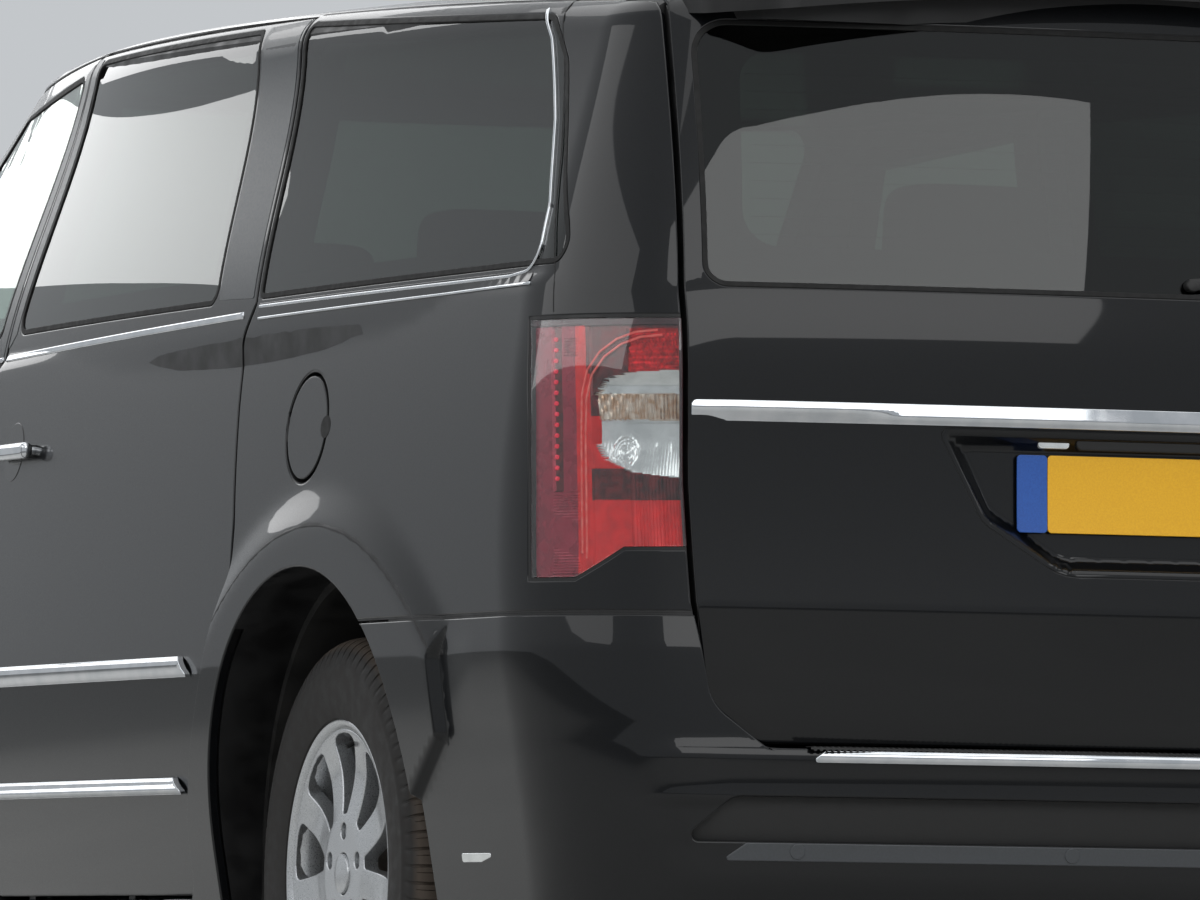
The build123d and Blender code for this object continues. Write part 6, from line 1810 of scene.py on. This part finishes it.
# Front bumper with its lower intake and fog lamps
FRONT_SEAM_X, FRONT_BUMPER_TOP = 2044, 641
bumper_seam = from_side(lower_skin,
                        line((FRONT_SEAM_X, SILL_FOOT), (FRONT_SEAM_X, FRONT_BUMPER_TOP), step=12))
front_bumper = whole(joined(line((LOWER.length - 1, SILL_FOOT), tuple(bumper_seam[0]), step=16), bumper_seam,
                            line(tuple(bumper_seam[-1]), (LOWER.length - 1, FRONT_BUMPER_TOP), step=16)))


def front_bumper_skin(s, z, out=0.0):
    """The front bumper: the nose with a ledge under the grille and a chin."""
    ridge = 6 * bump(z, 628, 20, 60) + 7 * bump(z, 262, 30, 60)
    a = np.where(s > LOWER.length, FAR - s, s)
    return front_skin(s, z, out + ridge * smooth((a - LOWER.s3 - 260) / 220))


INTAKE, INTAKE_Z = [(470, 300, 30), (420, 432, 40), (0, 440, 0), (0, 292, 0)], 366.0
intake = nose_hole(INTAKE, INTAKE_Z)
fog = from_front(lower_skin, circle(640.0, INTAKE_Z, 46.0, 44))
fogs = [to_side(fog, sign) for _, sign in SIDES]
panel("front_bumper_skin", front_bumper_skin, [front_bumper, intake, *fogs], "body", PAINT, step=15.0,
      flange=14.0, out=lambda p: np.minimum(SKIN, FRONT_X - front_bumper_skin(p[:, 0], p[:, 1])[:, 0]))
panel("intake_shell", front_skin, [intake], "body", BLACK_PLASTIC, out=1.0, step=40.0, lip=0.8, flange=1.0)
slat_s = np.linspace(LOWER.length - 436, LOWER.length + 436, 50)
slats = [bar_ring(slat_s, np.full(50, z), 4.5, False) + (6.0, 0, 0) for z in (326.0, 356.0, 386.0, 414.0)]
grid_piece("intake_slats", [(slat, True, False) for slat in slats], "body", BLACK_PLASTIC)
for (side, _), loop in zip(SIDES, fogs):
    panel(f"fog_lamp_{side}", front_skin, [loop], "body", LAMP_SILVER, out=1.0, step=12.0, lip=2.0,
          flange=3.0)

# Rubber strip round the foot of the windscreen, over the slot before the hood: (height over the hood, off)
STRIP_ROWS = [(-22.0, -2.0), (-14.0, 3.0), (-6.0, 10.0), (2.0, 9.0), (6.0, 3.0), (7.0, 0.6)]
foot_s = np.arange(UPPER.s3 - 40, UPPER.length + 1, 9.0)
foot_s = np.concatenate([foot_s, (span - foot_s)[::-1][1:]])
foot_x, foot_y, _ = header_skin(foot_s, np.full(len(foot_s), 1120.0), 16.0).T
strip_rows = [header_skin(foot_s, hood_z(foot_x, foot_y) + rise, off) for rise, off in STRIP_ROWS]
grid_piece("windscreen_foot_strip", [(np.stack(strip_rows), False, False)], "body", RUBBER)


# Finishes of the solids that stay in view
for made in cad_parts.values():
    made.data.materials.clear()
    made.data.materials.append(INNER_PAINT)
for finish, names in ((UNDERBODY, ("floor_pan",)),
                      (PAINT, ("roof_panel", "front_bumper", "hood")),
                      (IRON, ("front_suspension", "rear_axle", "knuckle_left", "knuckle_right", "engine")),
                      (PIPE, ("exhaust",)),
                      (BLACK_PLASTIC, ("fuel_tank", "rear_wiper")),
                      (CABIN_PLASTIC, ("dashboard", "steering_wheel"))):
    for name in names:
        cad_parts[name].data.materials[0] = finish


# Floor, light and camera

def floor_sheet(half):
    """A flat square 1 mm under the tyres, faced upwards."""
    points = np.array([(-half, -half, -1), (half, -half, -1), (half, half, -1), (-half, half, -1)], float)
    mesh = bpy.data.meshes.new("floor")
    mesh.from_pydata((points * MM).tolist(), [], [(0, 1, 2, 3)])
    mesh.materials.append(FLOOR)
    placed("floor", mesh)


def soft_lamp(name, place, target, width, height, power):
    """A rectangular lamp at a place, turned to a target; metres and watts."""
    data = bpy.data.lights.new(name, "AREA")
    data.shape = "RECTANGLE"
    data.size, data.size_y, data.energy = width, height, power
    lamp = placed(name, data)
    lamp.rotation_euler = (Vector(target) - Vector(place)).to_track_quat("-Z", "Y").to_euler()
    lamp.location = place


# Pale matt floor of a photo studio
FLOOR = material("pale_studio_floor", {"Specular IOR Level": 0.2}, 900, ("CFCFCD", "D6D6D4"), (0.7, 0.85))
floor_sheet(60000)
soft_lamp("overhead", (0.0, 0.0, 7.0), (0, 0, 0), 14.0, 9.0, 430)
soft_lamp("left_side", (-1.0, 9.0, 5.0), (-0.5, 0, 0.7), 12.0, 4.0, 210)
soft_lamp("tail", (-10.0, 1.0, 5.0), (-2.0, 0, 0.7), 8.0, 4.0, 230)
soft_lamp("right_side", (1.0, -9.0, 5.0), (0, 0, 0.7), 12.0, 4.0, 230)
soft_lamp("nose", (10.0, 1.0, 5.0), (2.0, 0, 0.7), 8.0, 4.0, 200)
# The world lights the object weakly; the camera, metal and glass see it as a pale backdrop
WORLD_LIGHT, BACKDROP = 0.3, 0.72
world = bpy.data.worlds.new("studio")
bpy.context.scene.world = world
world.use_nodes = True
sky = world.node_tree.nodes["Background"]
sky.inputs["Color"].default_value = colour("E2E6EA")
ray = node(world.node_tree, "LightPath").outputs
seen = node(world.node_tree, "Math", {"operation": "MAXIMUM"},
            links={0: ray["Is Camera Ray"], 1: ray["Is Glossy Ray"]})
seen = node(world.node_tree, "Math", {"operation": "MAXIMUM"},
            links={0: seen.outputs[0], 1: ray["Is Transmission Ray"]})
seen = node(world.node_tree, "Math", {"operation": "MULTIPLY_ADD"},
            {1: BACKDROP - WORLD_LIGHT, 2: WORLD_LIGHT}, {0: seen.outputs[0]})
world.node_tree.links.new(seen.outputs[0], sky.inputs["Strength"])

# The camera stands 18 m behind and 7 m to the left, low, with a lens of 360 mm on 36 mm film
CAMERA_PLACE = Vector((-18.304, 6.847, 0.199))
YAW, PITCH, ROLL = math.radians(20.655), math.radians(2.533), math.radians(0.731)
forward = Vector((math.cos(YAW) * math.cos(PITCH), -math.sin(YAW) * math.cos(PITCH), math.sin(PITCH)))
level_right = Vector((-math.sin(YAW), -math.cos(YAW), 0.0))
level_up = level_right.cross(forward)
right = level_right * math.cos(ROLL) + level_up * math.sin(ROLL)
up = level_up * math.cos(ROLL) - level_right * math.sin(ROLL)
lens = bpy.data.cameras.new("camera")
lens.sensor_width, lens.lens = 36.0, 360.0
lens.clip_end = 200.0
camera = placed("camera", lens)
camera.matrix_world = Matrix((
    (right.x, up.x, -forward.x, CAMERA_PLACE.x),
    (right.y, up.y, -forward.y, CAMERA_PLACE.y),
    (right.z, up.z, -forward.z, CAMERA_PLACE.z),
    (0.0, 0.0, 0.0, 1.0)))
bpy.context.scene.camera = camera
bpy.context.scene.view_settings.view_transform = "Standard"
